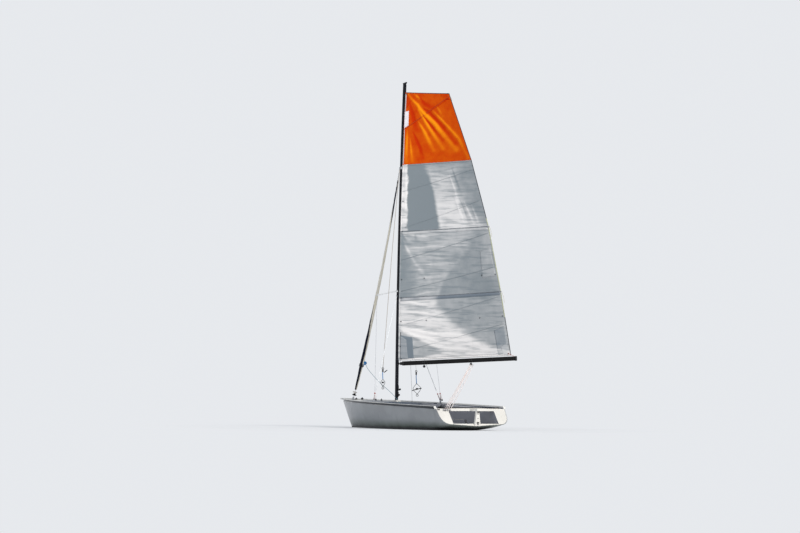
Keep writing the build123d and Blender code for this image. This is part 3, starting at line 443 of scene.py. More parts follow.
class Form:
    """Points and faces of one piece, gathered shape by shape."""

    def __init__(self):
        self.points, self.faces, self.uv = [], [], []

    def add(self, points, faces, uv=None):
        """One more shape, whose faces count from its own first point."""
        start = len(self.points)
        self.points += [Vector(p) for p in points]
        self.faces += [[i + start for i in face] for face in faces]
        self.uv += uv or [(p[0], p[2]) for p in points]
        return self

    def tube(self, path, radius, sides=8):
        """A round bar along points."""
        path = [Vector(p) for p in path]
        points, uv, along = [], [], 0.0
        ways = [(b - a).normalized() for a, b in zip(path, path[1:])]
        side = ways[0].orthogonal().normalized()
        for index, place in enumerate(path):
            way = (ways[max(index - 1, 0)] + ways[min(index, len(ways) - 1)]).normalized()
            side = (side - way * side.dot(way)).normalized()
            if index:
                along += (place - path[index - 1]).length
            points += [place + out * radius for out in around(side, way.cross(side), sides)]
            uv += [(min(k, sides - k) * 2 / sides, along) for k in range(sides)]
        return self.add(points, wrap_faces(len(path), sides), uv)

    def turned(self, profile, centre, axis, sides=20):
        """A lathe-turned shape: profile rows are (radius, distance along the axis)."""
        axis = Vector(axis).normalized()
        side = axis.orthogonal().normalized()
        ways = around(side, axis.cross(side), sides)
        points = [Vector(centre) + axis * high + out * radius for radius, high in profile for out in ways]
        uv = [(k / sides, high) for radius, high in profile for k in range(sides)]
        return self.add(points, wrap_faces(len(profile), sides), uv)

    def ring(self, centre, axis, radius, wire, sides=20, wire_sides=8):
        """A wire ring round an axis."""
        axis = Vector(axis).normalized()
        side = axis.orthogonal().normalized()
        return self.bow(centre, side, axis.cross(side), radius, wire, sides, wire_sides)

    def bow(self, centre, side, other, radius, wire, sides=20, wire_sides=8):
        """A wire ring that lies along two directions."""
        centre, side, other = Vector(centre), Vector(side).normalized(), Vector(other).normalized()
        axis, points, uv = side.cross(other), [], []
        for k, way in enumerate(around(side, other, sides)):
            place = centre + way * radius
            out = (place - centre).normalized()
            points += [place + turn * wire for turn in around(out, axis, wire_sides)]
            uv += [(j / wire_sides, k / sides) for j in range(wire_sides)]
        return self.add(points, wrap_faces(sides, wire_sides, closed=True), uv)

    def slab(self, centre, along, across, size, bevel=0.006):
        """A block with bevelled edges, by its middle, two directions and its three sizes."""
        along, across = Vector(along).normalized(), Vector(across).normalized()
        across = (across - along * across.dot(along)).normalized()
        basis = Matrix((along, across, along.cross(across))).transposed()
        form = bmesh.new()
        bmesh.ops.create_cube(form, size=1)
        bmesh.ops.scale(form, vec=size, verts=form.verts)
        bmesh.ops.bevel(form, geom=form.edges[:], offset=bevel, segments=2, profile=0.5, affect="EDGES")
        points = [Vector(centre) + basis @ v.co for v in form.verts]
        faces = [[v.index for v in f.verts] for f in form.faces]
        form.free()
        return self.add(points, faces)

    def cord(self, points, steps, radius):
        """A round cord that runs smoothly through a few points."""
        return self.tube(smooth_path(points, steps), radius)

    def make(self, name, finish, slot, body="hull"):
        """The piece, from all shapes so far."""
        return add_mesh(name, self.points, self.faces, MADE[finish], body, self.uv)


def sail_strip(name, edges, columns, lift, finish, shift):
    """A thin closed strip or patch on both faces of the cloth, between two lines on the sail.
    shift makes it lighter or darker than the cloth beneath."""
    points, uv, tones = [], [], []
    for off in (lift, -lift):
        for row, (start, end) in enumerate(zip(*edges)):
            for k in range(columns + 1):
                station, across = between(start, end, k / columns)
                points.append(on_cloth(station, across, off))
                uv.append((k / columns, row * 0.03))
                tones.append(min(max(cloth_tone(station, across) + shift, 0.0), 1.0))
    add_mesh(name, points, sheet_faces(len(edges[0]), columns + 1), MADE[finish], "boom_and_sail", uv, tones)


def band(path, width, steps):
    """Both edges of a tape that is centred on a line on the sail."""
    left, right = [], []
    total = len(path) - 1
    for row in range(steps + 1):
        position = row / steps * total
        low = min(int(position), total - 1)
        (s0, u0), (s1, u1) = path[low], path[low + 1]
        station, across = between(path[low], path[low + 1], position - low)
        up, aside, facing = sail_slopes(station, across)
        way = (up * (s1 - s0) + aside * (u1 - u0)).normalized()
        over = facing.cross(way) * (width / 2)
        ds, du = over.dot(up) / up.length_squared, over.dot(aside) / aside.length_squared
        left.append((station + ds, across + du))
        right.append((station - ds, across - du))
    return left, right


def patch_edges(corners, rows):
    """Both edges of a four-cornered patch, by its corners from low left round."""
    low_left, low_right, high_right, high_left = corners
    shares = [k / rows for k in range(rows + 1)]
    return ([between(low_left, high_left, share) for share in shares],
            [between(low_right, high_right, share) for share in shares])


# Finishes

def tint(*display):
    """A colour as it is seen on screen, turned into the linear value that a shader takes."""
    return tuple(c / 12.92 if c <= 0.04045 else ((c + 0.055) / 1.055) ** 2.4 for c in display) + (1.0,)


def dimmed(colour, share):
    """A darker colour of the same hue."""
    return tuple(share * c for c in colour[:3]) + (1.0,)


class Finish:
    """Builds one procedural material, layer by layer."""

    def __init__(self, name, roughness, metallic=0.0, **sockets):
        self.material = bpy.data.materials.new(name)
        self.material.use_nodes = True
        self.tree = self.material.node_tree
        self.shader = self.tree.nodes["Principled BSDF"]
        self.shader.inputs["Roughness"].default_value = roughness
        self.shader.inputs["Metallic"].default_value = metallic
        for socket, value in sockets.items():
            self.shader.inputs[socket.replace("_", " ")].default_value = value
        self.normal = None

    def node(self, kind, inputs=None, **settings):
        """A shader node. Each input is a value, or another node's output to link."""
        made = self.tree.nodes.new(kind)
        for setting, value in settings.items():
            setattr(made, setting, value)
        for socket, value in (inputs or {}).items():
            if isinstance(value, bpy.types.NodeSocket):
                self.tree.links.new(value, made.inputs[socket])
            else:
                made.inputs[socket].default_value = value
        return made

    def where(self, stretch=(1, 1, 1), source="Object"):
        """Texture coordinates."""
        place = self.node("ShaderNodeTexCoord").outputs[source]
        return self.node("ShaderNodeMapping", {"Vector": place, "Scale": stretch}).outputs[0]

    def noise(self, scale, stretch=(1, 1, 1), detail=3.0, source="Object"):
        """Soft random patches."""
        return self.node("ShaderNodeTexNoise", {
            "Vector": self.where(stretch, source), "Scale": scale, "Detail": detail}).outputs[0]

    def waves(self, scale, bend=0.0, source="Object", direction="X"):
        """Regular stripes, more or less bent."""
        return self.node("ShaderNodeTexWave", {"Vector": self.where(source=source), "Scale": scale,
                                               "Distortion": bend}, bands_direction=direction).outputs[1]

    def axis(self, name, source="Object"):
        """How far a point lies along X, Y or Z."""
        return self.node("ShaderNodeSeparateXYZ", {0: self.where(source=source)}).outputs[name]

    def reckon(self, kind, first, second=0.0):
        """A sum of two values, of the kind named."""
        return self.node("ShaderNodeMath", {0: first, 1: second}, operation=kind).outputs[0]

    def times(self, first, second):
        return self.reckon("MULTIPLY", first, second)

    def plus(self, first, second):
        return self.reckon("ADD", first, second)

    def minus(self, first, second):
        return self.reckon("SUBTRACT", first, second)

    def most(self, first, second):
        return self.reckon("MAXIMUM", first, second)

    def beat(self, value, height):
        """value folded up and down between 0 and height."""
        return self.reckon("PINGPONG", value, height)

    def size(self, value):
        """value without its sign."""
        return self.reckon("ABSOLUTE", value)

    def ramp(self, value, low, high):
        """0 below low, 1 above high, soft between. low may be the higher."""
        return self.node("ShaderNodeMapRange", {
            "Value": value, "From Min": low, "From Max": high}, interpolation_type="SMOOTHSTEP").outputs[0]

    def mix(self, share, first, second):
        """The second colour over the first, by a share."""
        return self.node("ShaderNodeMix", {0: share, 6: first, 7: second}, data_type="RGBA").outputs[2]

    def mottled(self, scale, low, high, first, second, stretch=(1, 1, 1), detail=5.0, share=1.0):
        """The first colour with soft patches of the second."""
        patches = self.ramp(self.noise(scale, stretch, detail), low, high)
        return self.mix(patches if share == 1 else self.times(patches, share), first, second)

    def tone(self):
        """The shade of cloth that each point carries."""
        return self.node("ShaderNodeAttribute", attribute_name="tone").outputs["Fac"]

    def colour(self, socket):
        """Gives the material its colour."""
        self.tree.links.new(socket, self.shader.inputs["Base Color"])
        return self

    def vary_roughness(self, value, low, high):
        """Roughness from low to high, by a value from 0 to 1."""
        made = self.node("ShaderNodeMapRange", {"Value": value, "To Min": low, "To Max": high})
        self.tree.links.new(made.outputs[0], self.shader.inputs["Roughness"])
        return self

    def bump(self, height, distance, strength=1.0):
        """Fine relief, laid over any that is there already."""
        inputs = {"Height": height, "Distance": distance, "Strength": strength}
        if self.normal:
            inputs["Normal"] = self.normal
        self.normal = self.node("ShaderNodeBump", inputs).outputs[0]
        self.tree.links.new(self.normal, self.shader.inputs["Normal"])
        return self


def gelcoat(name, bright, dull, roughness=0.32):
    """Weathered moulded gelcoat: soft cloudy colour, fine orange-peel and scuffs."""
    finish = Finish(name, roughness, Coat_Weight=0.25, Coat_Roughness=0.15)
    base = finish.mottled(2.2, 0.35, 0.68, bright, dull)
    finish.base = finish.mottled(38, 0.60, 0.72, base, tint(0.60, 0.60, 0.58), (1, 1, 3.5), 6, 0.35)
    finish.colour(finish.base).vary_roughness(finish.noise(14), roughness - 0.08, roughness + 0.14)
    return finish.bump(finish.noise(420, detail=1), 0.0004, 0.25)


def hull_finish():
    """Hull sides: white gelcoat given as grey for painted shade, that greens and darkens to the waterline with growth
    and with painted shade and reflection.
    """
    # Grey for the hull's white gelcoat: painted shade on its sides
    finish = gelcoat("gelcoat_hull", tint(0.57, 0.585, 0.60), tint(0.525, 0.54, 0.555))
    uneven = finish.times(finish.noise(5, (1, 1, 0.3)), 0.06)
    height = finish.plus(finish.axis("Z"), uneven)
    worn = finish.mottled(9, 0.56, 0.74, finish.base, tint(0.42, 0.43, 0.42), (1, 1, 0.06), 4, 0.22)
    # Olive towards the waterline: growth and painted shade
    green = finish.mix(finish.times(finish.ramp(height, *WEED_AND_SHADE_Z), 0.75), worn, tint(0.28, 0.33, 0.27))
    # Near black at the waterline: growth with painted shade and reflection
    finish.colour(finish.mix(finish.ramp(height, *BILGE_GROWTH_AND_SHADE_Z), green, tint(0.05, 0.065, 0.055)))
    return finish.material


def tank_finish():
    """Side tanks: white outside and on the transom, with painted shade: blue-grey along the well, darker blue-grey on
    the side decks.
    """
    finish = gelcoat("gelcoat_tank", tint(0.92, 0.91, 0.885), tint(0.875, 0.865, 0.84))
    aside = finish.size(finish.axis("Y"))
    facing_aft = finish.ramp(finish.axis("X", "Normal"), -0.55, -0.30)
    well = finish.times(finish.ramp(aside, *WELL_SIDE_Y), facing_aft)
    edge = finish.times(finish.ramp(aside, *DECK_EDGE_Y), finish.ramp(finish.axis("X"), *DECK_END_X))
    deck = finish.times(finish.ramp(finish.axis("Z", "Normal"), *DECK_FACING), edge)
    # Blue-grey on the well's walls: painted shade
    painted_well_shade = finish.mix(finish.noise(6, detail=5), tint(0.54, 0.55, 0.58), tint(0.60, 0.605, 0.63))
    # Darker blue-grey on the side decks: painted shade
    dark = finish.mix(finish.noise(6, detail=5), tint(0.32, 0.345, 0.41), tint(0.38, 0.40, 0.46))
    finish.colour(finish.mix(deck, finish.mix(well, finish.base, painted_well_shade), dark))
    return finish.bump(finish.noise(900, detail=1), 0.0006, 0.35).material


def foredeck_finish():
    """Bow tank: white at the bow, with painted shade: dark blue-grey on its aft deck and along the top of the bulkhead
    that faces the well, grey on the rest of that bulkhead.
    """
    finish = gelcoat("gelcoat_deck", tint(0.90, 0.90, 0.89), tint(0.86, 0.86, 0.85))
    bulkhead = finish.ramp(finish.axis("X"), *BULKHEAD_X)
    low = finish.ramp(finish.axis("Z"), *BULKHEAD_FOOT_Z)
    aft = finish.times(finish.ramp(finish.axis("Z", "Normal"), *DECK_FACING),
                       finish.ramp(finish.axis("X"), *FOREDECK_SHADE_X))
    # Dark blue-grey on the aft deck and the bulkhead's top: painted shade
    painted_deck_shade = finish.mix(finish.noise(6, detail=5), tint(0.32, 0.36, 0.41), tint(0.38, 0.41, 0.46))
    # Grey on the bulkhead below: painted shade
    walls = finish.mix(bulkhead, finish.base, finish.mix(low, painted_deck_shade, tint(0.60, 0.605, 0.63)))
    finish.colour(finish.mix(aft, walls, painted_deck_shade))
    return finish.bump(finish.noise(900, detail=1), 0.0006, 0.3).material


def floor_finish():
    """Cockpit floor: pale grey darkened as painted shade, with a raised non-slip pattern, and a white rim aft and
    below.
    """
    finish = Finish("floor_nonslip", 0.62)
    # Grey inside the rim: painted shade on a pale floor
    base = finish.mottled(3, 0.35, 0.7, tint(0.58, 0.59, 0.62), tint(0.52, 0.53, 0.55))
    rim = finish.most(finish.ramp(finish.axis("X"), *FLOOR_RIM_X),
                      finish.minus(1.0, finish.ramp(finish.axis("Z"), *FLOOR_TOP_Z)))
    finish.colour(finish.mix(rim, base, tint(0.90, 0.89, 0.86)))
    cells = finish.node("ShaderNodeTexVoronoi", {"Vector": finish.where(), "Scale": 90}).outputs[0]
    return finish.bump(cells, 0.0012, 0.6).material


def gunwale_finish():
    """Gunwale: white lip and rail, a dark rubbing face outside that also carries painted shadow under the lip, and
    painted shade on the face inside.
    """
    finish = gelcoat("gelcoat_gunwale", tint(0.93, 0.93, 0.92), tint(0.88, 0.88, 0.87))
    top = SHEER_AFT_Z - SHEER_SLOPE * TRANSOM_X
    drop = finish.minus(top, finish.minus(finish.axis("Z"), finish.times(finish.axis("X"), SHEER_SLOPE)))
    facing = finish.times(finish.axis("Y", "Normal"), finish.axis("Y"))
    strip = finish.times(finish.ramp(facing, 0.02, 0.08), finish.ramp(drop, *RUBBER_SHADOW_DROP))
    # Painted shade on the face inside, below the lip
    inside = finish.times(finish.ramp(facing, -0.02, -0.08), finish.ramp(drop, *RAIL_DROP))
    # Dark outer face: partly a dark rubbing strip, partly painted shadow under the lip
    rubber_and_shadow = finish.mottled(30, 0.4, 0.7, tint(0.10, 0.12, 0.15), tint(0.17, 0.19, 0.22), (0.3, 1, 1), 4)
    finish.colour(finish.mix(strip, finish.mix(inside, finish.base, tint(0.33, 0.36, 0.43)), rubber_and_shadow))
    return finish.material


def anodised(name, colour, worn, stretch, roughness=0.34):
    """Black anodised tube with fine drawn lines, dust and rubbed places."""
    finish = Finish(name, roughness, Specular_IOR_Level=0.22)
    lines = finish.noise(300, stretch, 4)
    base = finish.mottled(6, 0.55, 0.78, colour, worn, detail=6, share=0.30)
    finish.colour(finish.mix(finish.times(finish.ramp(lines, 0.60, 0.8), 0.25), base, worn))
    finish.vary_roughness(finish.noise(11, detail=4), roughness - 0.08, roughness + 0.16)
    return finish.bump(lines, 0.0002, 0.4).material


def moulded(name, colour, worn, roughness=0.5, second=None, heights=None):
    """Moulded fitting plastic with a fine grain and worn patches. second takes over between two heights."""
    finish = Finish(name, roughness, Specular_IOR_Level=0.3)
    base = finish.mottled(25, 0.45, 0.75, colour, worn, detail=6)
    if second:
        base = finish.mix(finish.ramp(finish.axis("Z"), *heights), base, second)
    finish.colour(base)
    finish.vary_roughness(finish.noise(60), roughness - 0.1, roughness + 0.15)
    return finish.bump(finish.noise(800, detail=2), 0.0003, 0.4).material


def steel(name, colour=tint(0.74, 0.75, 0.77), roughness=0.26):
    """Polished stainless steel with hairline scratches and tea stains."""
    finish = Finish(name, roughness, metallic=1.0)
    finish.colour(finish.mottled(45, 0.62, 0.78, colour, tint(0.45, 0.36, 0.27), detail=6, share=0.4))
    finish.vary_roughness(finish.noise(140, (1, 1, 0.1), 4), roughness - 0.1, roughness + 0.16)
    return finish.bump(finish.noise(500, (1, 1, 0.05), 2), 0.0001, 0.5).material


def sailcloth(name, shade, lit, shade_streaks=0.0, uneven=0.24, roughness=0.65):
    """Woven polyester: painted light and shade of its folds in its colour, painted level bands of shade where it is
    lit, weave and crackle in its bump.
    """
    finish = Finish(name, roughness, Specular_IOR_Level=0.06)
    cloud = finish.times(finish.minus(finish.noise(7, detail=6), 0.5), uneven)
    # Level bands of painted shade, as from ripples across the lit cloth
    level = finish.ramp(finish.noise(2.4, (0.95, 0.95, 9.5), 6), 0.47, 0.66)
    level = finish.minus(1.0, finish.times(level, shade_streaks))
    tone = finish.plus(finish.times(finish.tone(), level), cloud)
    base = finish.mix(finish.ramp(tone, 0.05, 0.95), shade, lit)
    finish.colour(finish.mottled(16, 0.60, 0.80, base, dimmed(shade, 0.55), (1, 1, 0.5), 7, 0.10))
    warp, weft = (finish.waves(260, source="UV", direction=way) for way in "XY")
    finish.bump(finish.plus(warp, weft), 0.00015, 0.35)
    return finish.bump(finish.noise(28, (0.6, 0.6, 2.2), 6), 0.004, 0.40).material


def tape_finish(name, colour, stitch, roughness=0.6):
    """Stitched tape: two rows of zigzag along its edges, by its own UV map."""
    finish = Finish(name, roughness)
    aside, along = finish.axis("X", "UV"), finish.axis("Y", "UV")
    zigzag = finish.times(finish.beat(finish.times(along, 160.0), 1.0), 0.05)
    rows = []
    for edge in (0.12, 0.83):
        gap = finish.size(finish.minus(finish.minus(aside, edge), zigzag))
        rows.append(finish.ramp(gap, 0.035, 0.015))
    seams = finish.most(*rows)
    finish.colour(finish.mix(seams, finish.mottled(20, 0.4, 0.75, colour, dimmed(colour, 0.82)), stitch))
    return finish.bump(seams, 0.0004, 0.6).bump(finish.noise(500, detail=2), 0.0002, 0.3).material


def rope_finish(name, colour, fleck=None, strands=3.0, pitch=55.0):
    """Braided rope: slanting strands by the rope's UV map, darker between the strands as painted shade, with flecks of
    a second yarn.
    """
    finish = Finish(name, 0.75, Sheen_Weight=0.2)
    aside, along = finish.axis("X", "UV"), finish.axis("Y", "UV")
    turn = finish.times(along, pitch)
    one = finish.beat(finish.plus(finish.times(aside, strands), turn), 0.5)
    two = finish.beat(finish.minus(finish.times(aside, strands), turn), 0.5)
    braid = finish.times(one, two)
    # Darker between the strands: painted shade
    base = finish.mix(finish.ramp(braid, 0.0, 0.10), dimmed(colour, 0.66), colour)
    if fleck:
        beat = finish.beat(finish.times(along, 22.0), 0.5)
        spot = finish.times(finish.ramp(beat, 0.36, 0.42), finish.ramp(one, 0.26, 0.38))
        base = finish.mix(spot, base, fleck)
    finish.colour(base)
    return finish.bump(braid, 0.0012, 0.8).material


def webbing_finish(name, colour):
    """Woven webbing with ribs across its width."""
    finish = Finish(name, 0.8, Sheen_Weight=0.2)
    ribs, cross = finish.waves(90, bend=0.4), finish.waves(150, direction="Y")
    base = finish.mottled(30, 0.4, 0.7, colour, tint(0.62, 0.60, 0.55))
    base = finish.mix(finish.ramp(finish.axis("X"), *STRAP_DARK_X), base, tint(0.20, 0.20, 0.24))
    finish.colour(finish.mix(finish.times(ribs, 0.35), base, tint(0.40, 0.39, 0.36)))
    return finish.bump(finish.times(ribs, cross), 0.0008, 0.7).material


MADE = {}


def make_finishes(colours):
    """Every finish of the boat, by name."""
    MADE.update({
        "hull": hull_finish(),
        "tank": tank_finish(),
        "gelcoat": gelcoat("gelcoat_white", tint(0.92, 0.91, 0.885), tint(0.875, 0.865, 0.84)).material,
        "foredeck": foredeck_finish(),
        "floor": floor_finish(),
        "gunwale": gunwale_finish(),
        "mast": anodised("mast_black", tint(*colours.spar), tint(0.17, 0.19, 0.26), (1, 1, 0.02)),
        "boom": anodised("boom_black", tint(0.035, 0.033, 0.036), tint(0.15, 0.15, 0.15), (0.05, 0.05, 1), 0.42),
        "alloy": anodised("spreader_silver", tint(0.80, 0.81, 0.82), tint(0.68, 0.69, 0.70), (0.05, 0.05, 1), 0.35),
        "black": moulded("fitting_black", tint(0.075, 0.075, 0.09), tint(0.16, 0.16, 0.18)),
        "drum": moulded("furler_plastic", tint(0.07, 0.07, 0.08), tint(0.14, 0.14, 0.15), 0.5,
                        tint(0.86, 0.84, 0.82), DRUM_WHITE_Z),
        "grey": moulded("fitting_grey", tint(0.62, 0.63, 0.66), tint(0.52, 0.53, 0.56)),
        "red": moulded("fitting_red", tint(0.62, 0.16, 0.12), tint(0.70, 0.35, 0.30)),
        "steel": steel("stainless_steel"),
        "wire": moulded("shroud_sleeve", tint(0.95, 0.96, 0.97), tint(0.90, 0.91, 0.92), 0.4),
        "trapeze": rope_finish("trapeze_wire", tint(0.74, 0.71, 0.67), None, 2.0, 60.0),
        "white_cloth": sailcloth("sailcloth_white", tint(*colours.cloth_shade), tint(*colours.cloth_lit), 0.36),
        "patch": sailcloth("sailcloth_patch", tint(0.485, 0.525, 0.56), tint(0.86, 0.86, 0.86), 0.3),
        "pocket": sailcloth("sailcloth_pocket", tint(0.46, 0.50, 0.54), tint(0.95, 0.94, 0.935), 0.2),
        "orange_cloth": sailcloth("sailcloth_orange", tint(*colours.orange_shade), tint(*colours.orange_lit),
                                  0.0, 0.30),
        "jib_cloth": sailcloth("sailcloth_rolled", tint(0.085, 0.10, 0.165), tint(0.90, 0.875, 0.81), 0.0, 0.12),
        "batten": moulded("batten_grey", tint(0.40, 0.42, 0.45), tint(0.52, 0.54, 0.56), 0.5,
                          tint(0.70, 0.25, 0.03), BATTEN_ORANGE_Z),
        "tape_white": tape_finish("tape_white", tint(0.72, 0.71, 0.72), tint(0.60, 0.60, 0.62)),
        "tape_pale": tape_finish("tape_pale", tint(0.93, 0.91, 0.93), tint(0.80, 0.79, 0.82)),
        "tape_cream": tape_finish("tape_cream", tint(0.78, 0.79, 0.65), tint(0.66, 0.67, 0.53)),
        "tape_dark": tape_finish("tape_dark", tint(0.14, 0.15, 0.17), tint(0.30, 0.31, 0.33)),
        "sheet_rope": rope_finish("mainsheet_rope", tint(0.99, 0.965, 0.955), tint(0.76, 0.38, 0.38)),
        "white_rope": rope_finish("white_rope", tint(0.86, 0.85, 0.80)),
        "blue_rope": rope_finish("blue_rope", tint(0.12, 0.54, 0.82)),
        "teal_rope": rope_finish("teal_rope", tint(0.16, 0.46, 0.55), tint(0.65, 0.78, 0.82)),
        "dark_rope": rope_finish("dark_rope", tint(0.13, 0.15, 0.19)),
        "webbing": webbing_finish("webbing_pale", tint(0.97, 0.94, 0.88)),
        "board": gelcoat("board_white", tint(0.86, 0.86, 0.84), tint(0.80, 0.80, 0.78)).material,
    })


# Which finish each carried-over piece of the frame takes
NODE_FINISH = {
    "hull": ["hull_moulding"],
    "tank": ["side_tank_port", "side_tank_starboard"],
    "gelcoat": ["transom_beam", "rudder_post", "mast_step"],
    "foredeck": ["bow_tank"],
    "floor": ["cockpit_floor", "centreboard_case"],
    "gunwale": ["gunwale_strake"],
    "mast": ["mast"],
    "alloy": ["spreaders"],
    "boom": ["boom", "mainsheet_track"],
    "drum": ["furler_drum"],
    "black": ["masthead_fitting", "boom_end_cap", "boom_blocks", "furler_swivel", "mainsheet_car", "hatch_covers",
              "mast_cleats", "gudgeons", "gooseneck_bracket"],
    "steel": ["lower_tangs", "centreboard_pin", "hounds_fitting", "chainplates", "bow_fitting", "jib_tracks",
              "shroud_port", "shroud_starboard", "forestay"],
    "wire": ["lower_shrouds"],
    "batten": ["battens"],
    "webbing": ["toe_straps"],
    "board": ["centreboard"],
}


# Repeats

def repeat_tree():
    """A Geometry Nodes tree that sets one fastener on every point of a mesh, turned the point's way."""
    name = "Fasteners on points"
    if name in bpy.data.node_groups:
        return bpy.data.node_groups[name]
    tree = bpy.data.node_groups.new(name, "GeometryNodeTree")
    for socket, flow, kind in (("Points", "INPUT", "Geometry"), ("Fastener", "INPUT", "Object"),
                               ("Size", "INPUT", "Float"), ("Finish", "INPUT", "Material"),
                               ("Fasteners", "OUTPUT", "Geometry")):
        tree.interface.new_socket(socket, in_out=flow, socket_type="NodeSocket" + kind)
    tree.interface.items_tree["Size"].default_value = 1.0
    start, end, fastener, way, aim, place, real, dress = (tree.nodes.new(kind) for kind in (
        "NodeGroupInput", "NodeGroupOutput", "GeometryNodeObjectInfo", "GeometryNodeInputNamedAttribute",
        "FunctionNodeAlignRotationToVector", "GeometryNodeInstanceOnPoints", "GeometryNodeRealizeInstances",
        "GeometryNodeSetMaterial"))
    way.data_type = "FLOAT_VECTOR"
    way.inputs["Name"].default_value = "way"
    aim.axis = "Z"
    for source, out, target, into in (
            (start, "Fastener", fastener, "Object"), (way, "Attribute", aim, "Vector"),
            (start, "Points", place, "Points"), (fastener, "Geometry", place, "Instance"),
            (aim, "Rotation", place, "Rotation"), (start, "Size", place, "Scale"),
            (place, "Instances", real, "Geometry"), (real, "Geometry", dress, "Geometry"),
            (start, "Finish", dress, "Material"), (dress, "Geometry", end, "Fasteners")):
        tree.links.new(source.outputs[out], target.inputs[into])
    return tree


def plain_mesh(piece):
    """The mesh of a piece once its modifiers have run."""
    return bpy.data.meshes.new_from_object(piece.evaluated_get(bpy.context.evaluated_depsgraph_get()))


def repeat(name, places, fastener, size, body="hull", finish="steel"):
    """Copies of a fastener on (point, way) places, as one plain mesh."""
    carrier_mesh = bpy.data.meshes.new(name + "_points")
    carrier_mesh.from_pydata([tuple(p) for p, way in places], [], [])
    ways = carrier_mesh.attributes.new("way", "FLOAT_VECTOR", "POINT")
    ways.data.foreach_set("vector", [c for p, way in places for c in Vector(way).normalized()])
    carrier = link(name + "_points", carrier_mesh)
    modifier = carrier.modifiers.new("Fasteners", "NODES")
    modifier.node_group = repeat_tree()
    sockets = {s.name: s.identifier for s in modifier.node_group.interface.items_tree if s.in_out == "INPUT"}
    for socket, value in (("Fastener", fastener), ("Size", size), ("Finish", MADE[finish])):
        modifier[sockets[socket]] = value
    mesh = plain_mesh(carrier)
    mesh.name = name
    link(name, mesh, body)
    bpy.data.objects.remove(carrier)
    bpy.data.meshes.remove(carrier_mesh)


# Profiles of fasteners that are 1 across. columns: radius, height over the surface
FASTENERS = {
    "screw": [(0.28, -0.2), (0.30, 0.0), (0.5, 0.0), (0.5, 0.10), (0.42, 0.24), (0.22, 0.30), (0.20, 0.20)],
    "rivet": [(0.3, -0.2), (0.5, 0.0), (0.47, 0.14), (0.34, 0.26), (0.15, 0.32)],
    "eyelet": [(0.27, -0.16), (0.50, -0.12), (0.50, 0.0), (0.46, 0.09), (0.38, 0.13), (0.30, 0.10), (0.27, 0.0)],
}


def fastener(kind):
    """The shape of one fastener, standing on the origin: a pan screw, a rivet or an open eyelet."""
    form, sides = Form(), 14
    if kind == "eyelet":
        points = [(r * cos(tau * k / sides), r * sin(tau * k / sides), h)
                  for r, h in FASTENERS[kind] for k in range(sides)]
        form.add(points, wrap_faces(len(FASTENERS[kind]), sides, closed=True))
    else:
        form.turned(FASTENERS[kind], (0, 0, 0), UP, 10)
    return add_mesh("pattern_" + kind, form.points, form.faces, None)


def clear_patterns():
    """Takes the fasteners' patterns out of the scene."""
    for piece in [o for o in bpy.data.objects if o.name.startswith("pattern_")]:
        bpy.data.objects.remove(piece)


# What a user would change

class DinghyColours(bpy.types.PropertyGroup):
    """Colours of the spars and the cloth"""
    spar: FloatVectorProperty(
        name="Spars", description="Anodised mast colour", subtype="COLOR_GAMMA", size=3, default=(0.035, 0.045, 0.085))
    cloth_shade: FloatVectorProperty(
        name="White cloth, shaded", description="White sailcloth out of the low sun", subtype="COLOR_GAMMA", size=3,
        default=(0.515, 0.55, 0.572))
    cloth_lit: FloatVectorProperty(
        name="White cloth, lit", description="White sailcloth in the low sun", subtype="COLOR_GAMMA", size=3,
        default=(0.945, 0.935, 0.93))
    orange_shade: FloatVectorProperty(
        name="Orange cloth, shaded", description="Orange sailcloth in its hollows", subtype="COLOR_GAMMA", size=3,
        default=(0.77, 0.185, 0.0))
    orange_lit: FloatVectorProperty(
        name="Orange cloth, lit", description="Orange sailcloth on its folds", subtype="COLOR_GAMMA", size=3,
        default=(1.0, 0.60, 0.06))


class DinghySizes(bpy.types.PropertyGroup):
    """Sizes of the cloth, the ropes and the screws"""
    cloth: FloatProperty(
        name="Cloth", description="Thickness of the sailcloth as modelled", default=0.0012, unit="LENGTH")
    cell: FloatProperty(
        name="Cloth cell", description="Size of the mesh cells in the sails", default=0.0165, unit="LENGTH")
    sheet: FloatProperty(name="Mainsheet", description="Mainsheet diameter", default=0.014, unit="LENGTH")
    line: FloatProperty(name="Control lines", description="Diameter of the light lines", default=0.005, unit="LENGTH")
    screw: FloatProperty(name="Screws", description="Head width of the deck screws", default=0.009, unit="LENGTH")
    turns: IntProperty(name="Jib turns", description="How often the jib is rolled round its stay", default=9)


class DinghyStage(bpy.types.PropertyGroup):
    """Floor and light of the picture"""
    floor: FloatProperty(name="Floor", description="Radius of the pale floor", default=900.0, unit="LENGTH")
    sky: FloatProperty(name="Sky", description="Strength of the soft light from all round", default=0.60)
    sun: FloatProperty(name="Sun", description="Strength of the soft key light", default=2.0)


# Operators

class DINGHY_OT_finishes(bpy.types.Operator):
    """Gives every carried-over piece of the frame its finish"""
    bl_idname = "dinghy.finishes"
    bl_label = "Finish the frame"

    def execute(self, context):
        make_finishes(context.scene.dinghy_colours)
        for finish, nodes in NODE_FINISH.items():
            for name in nodes:
                slots = frame["nodes"][name].data.materials
                slots.clear()
                slots.append(MADE[finish])
        return {"FINISHED"}


def span(start, end):
    """Distance between two places on the smooth sail."""
    return (sail_base(*end) - sail_base(*start)).length


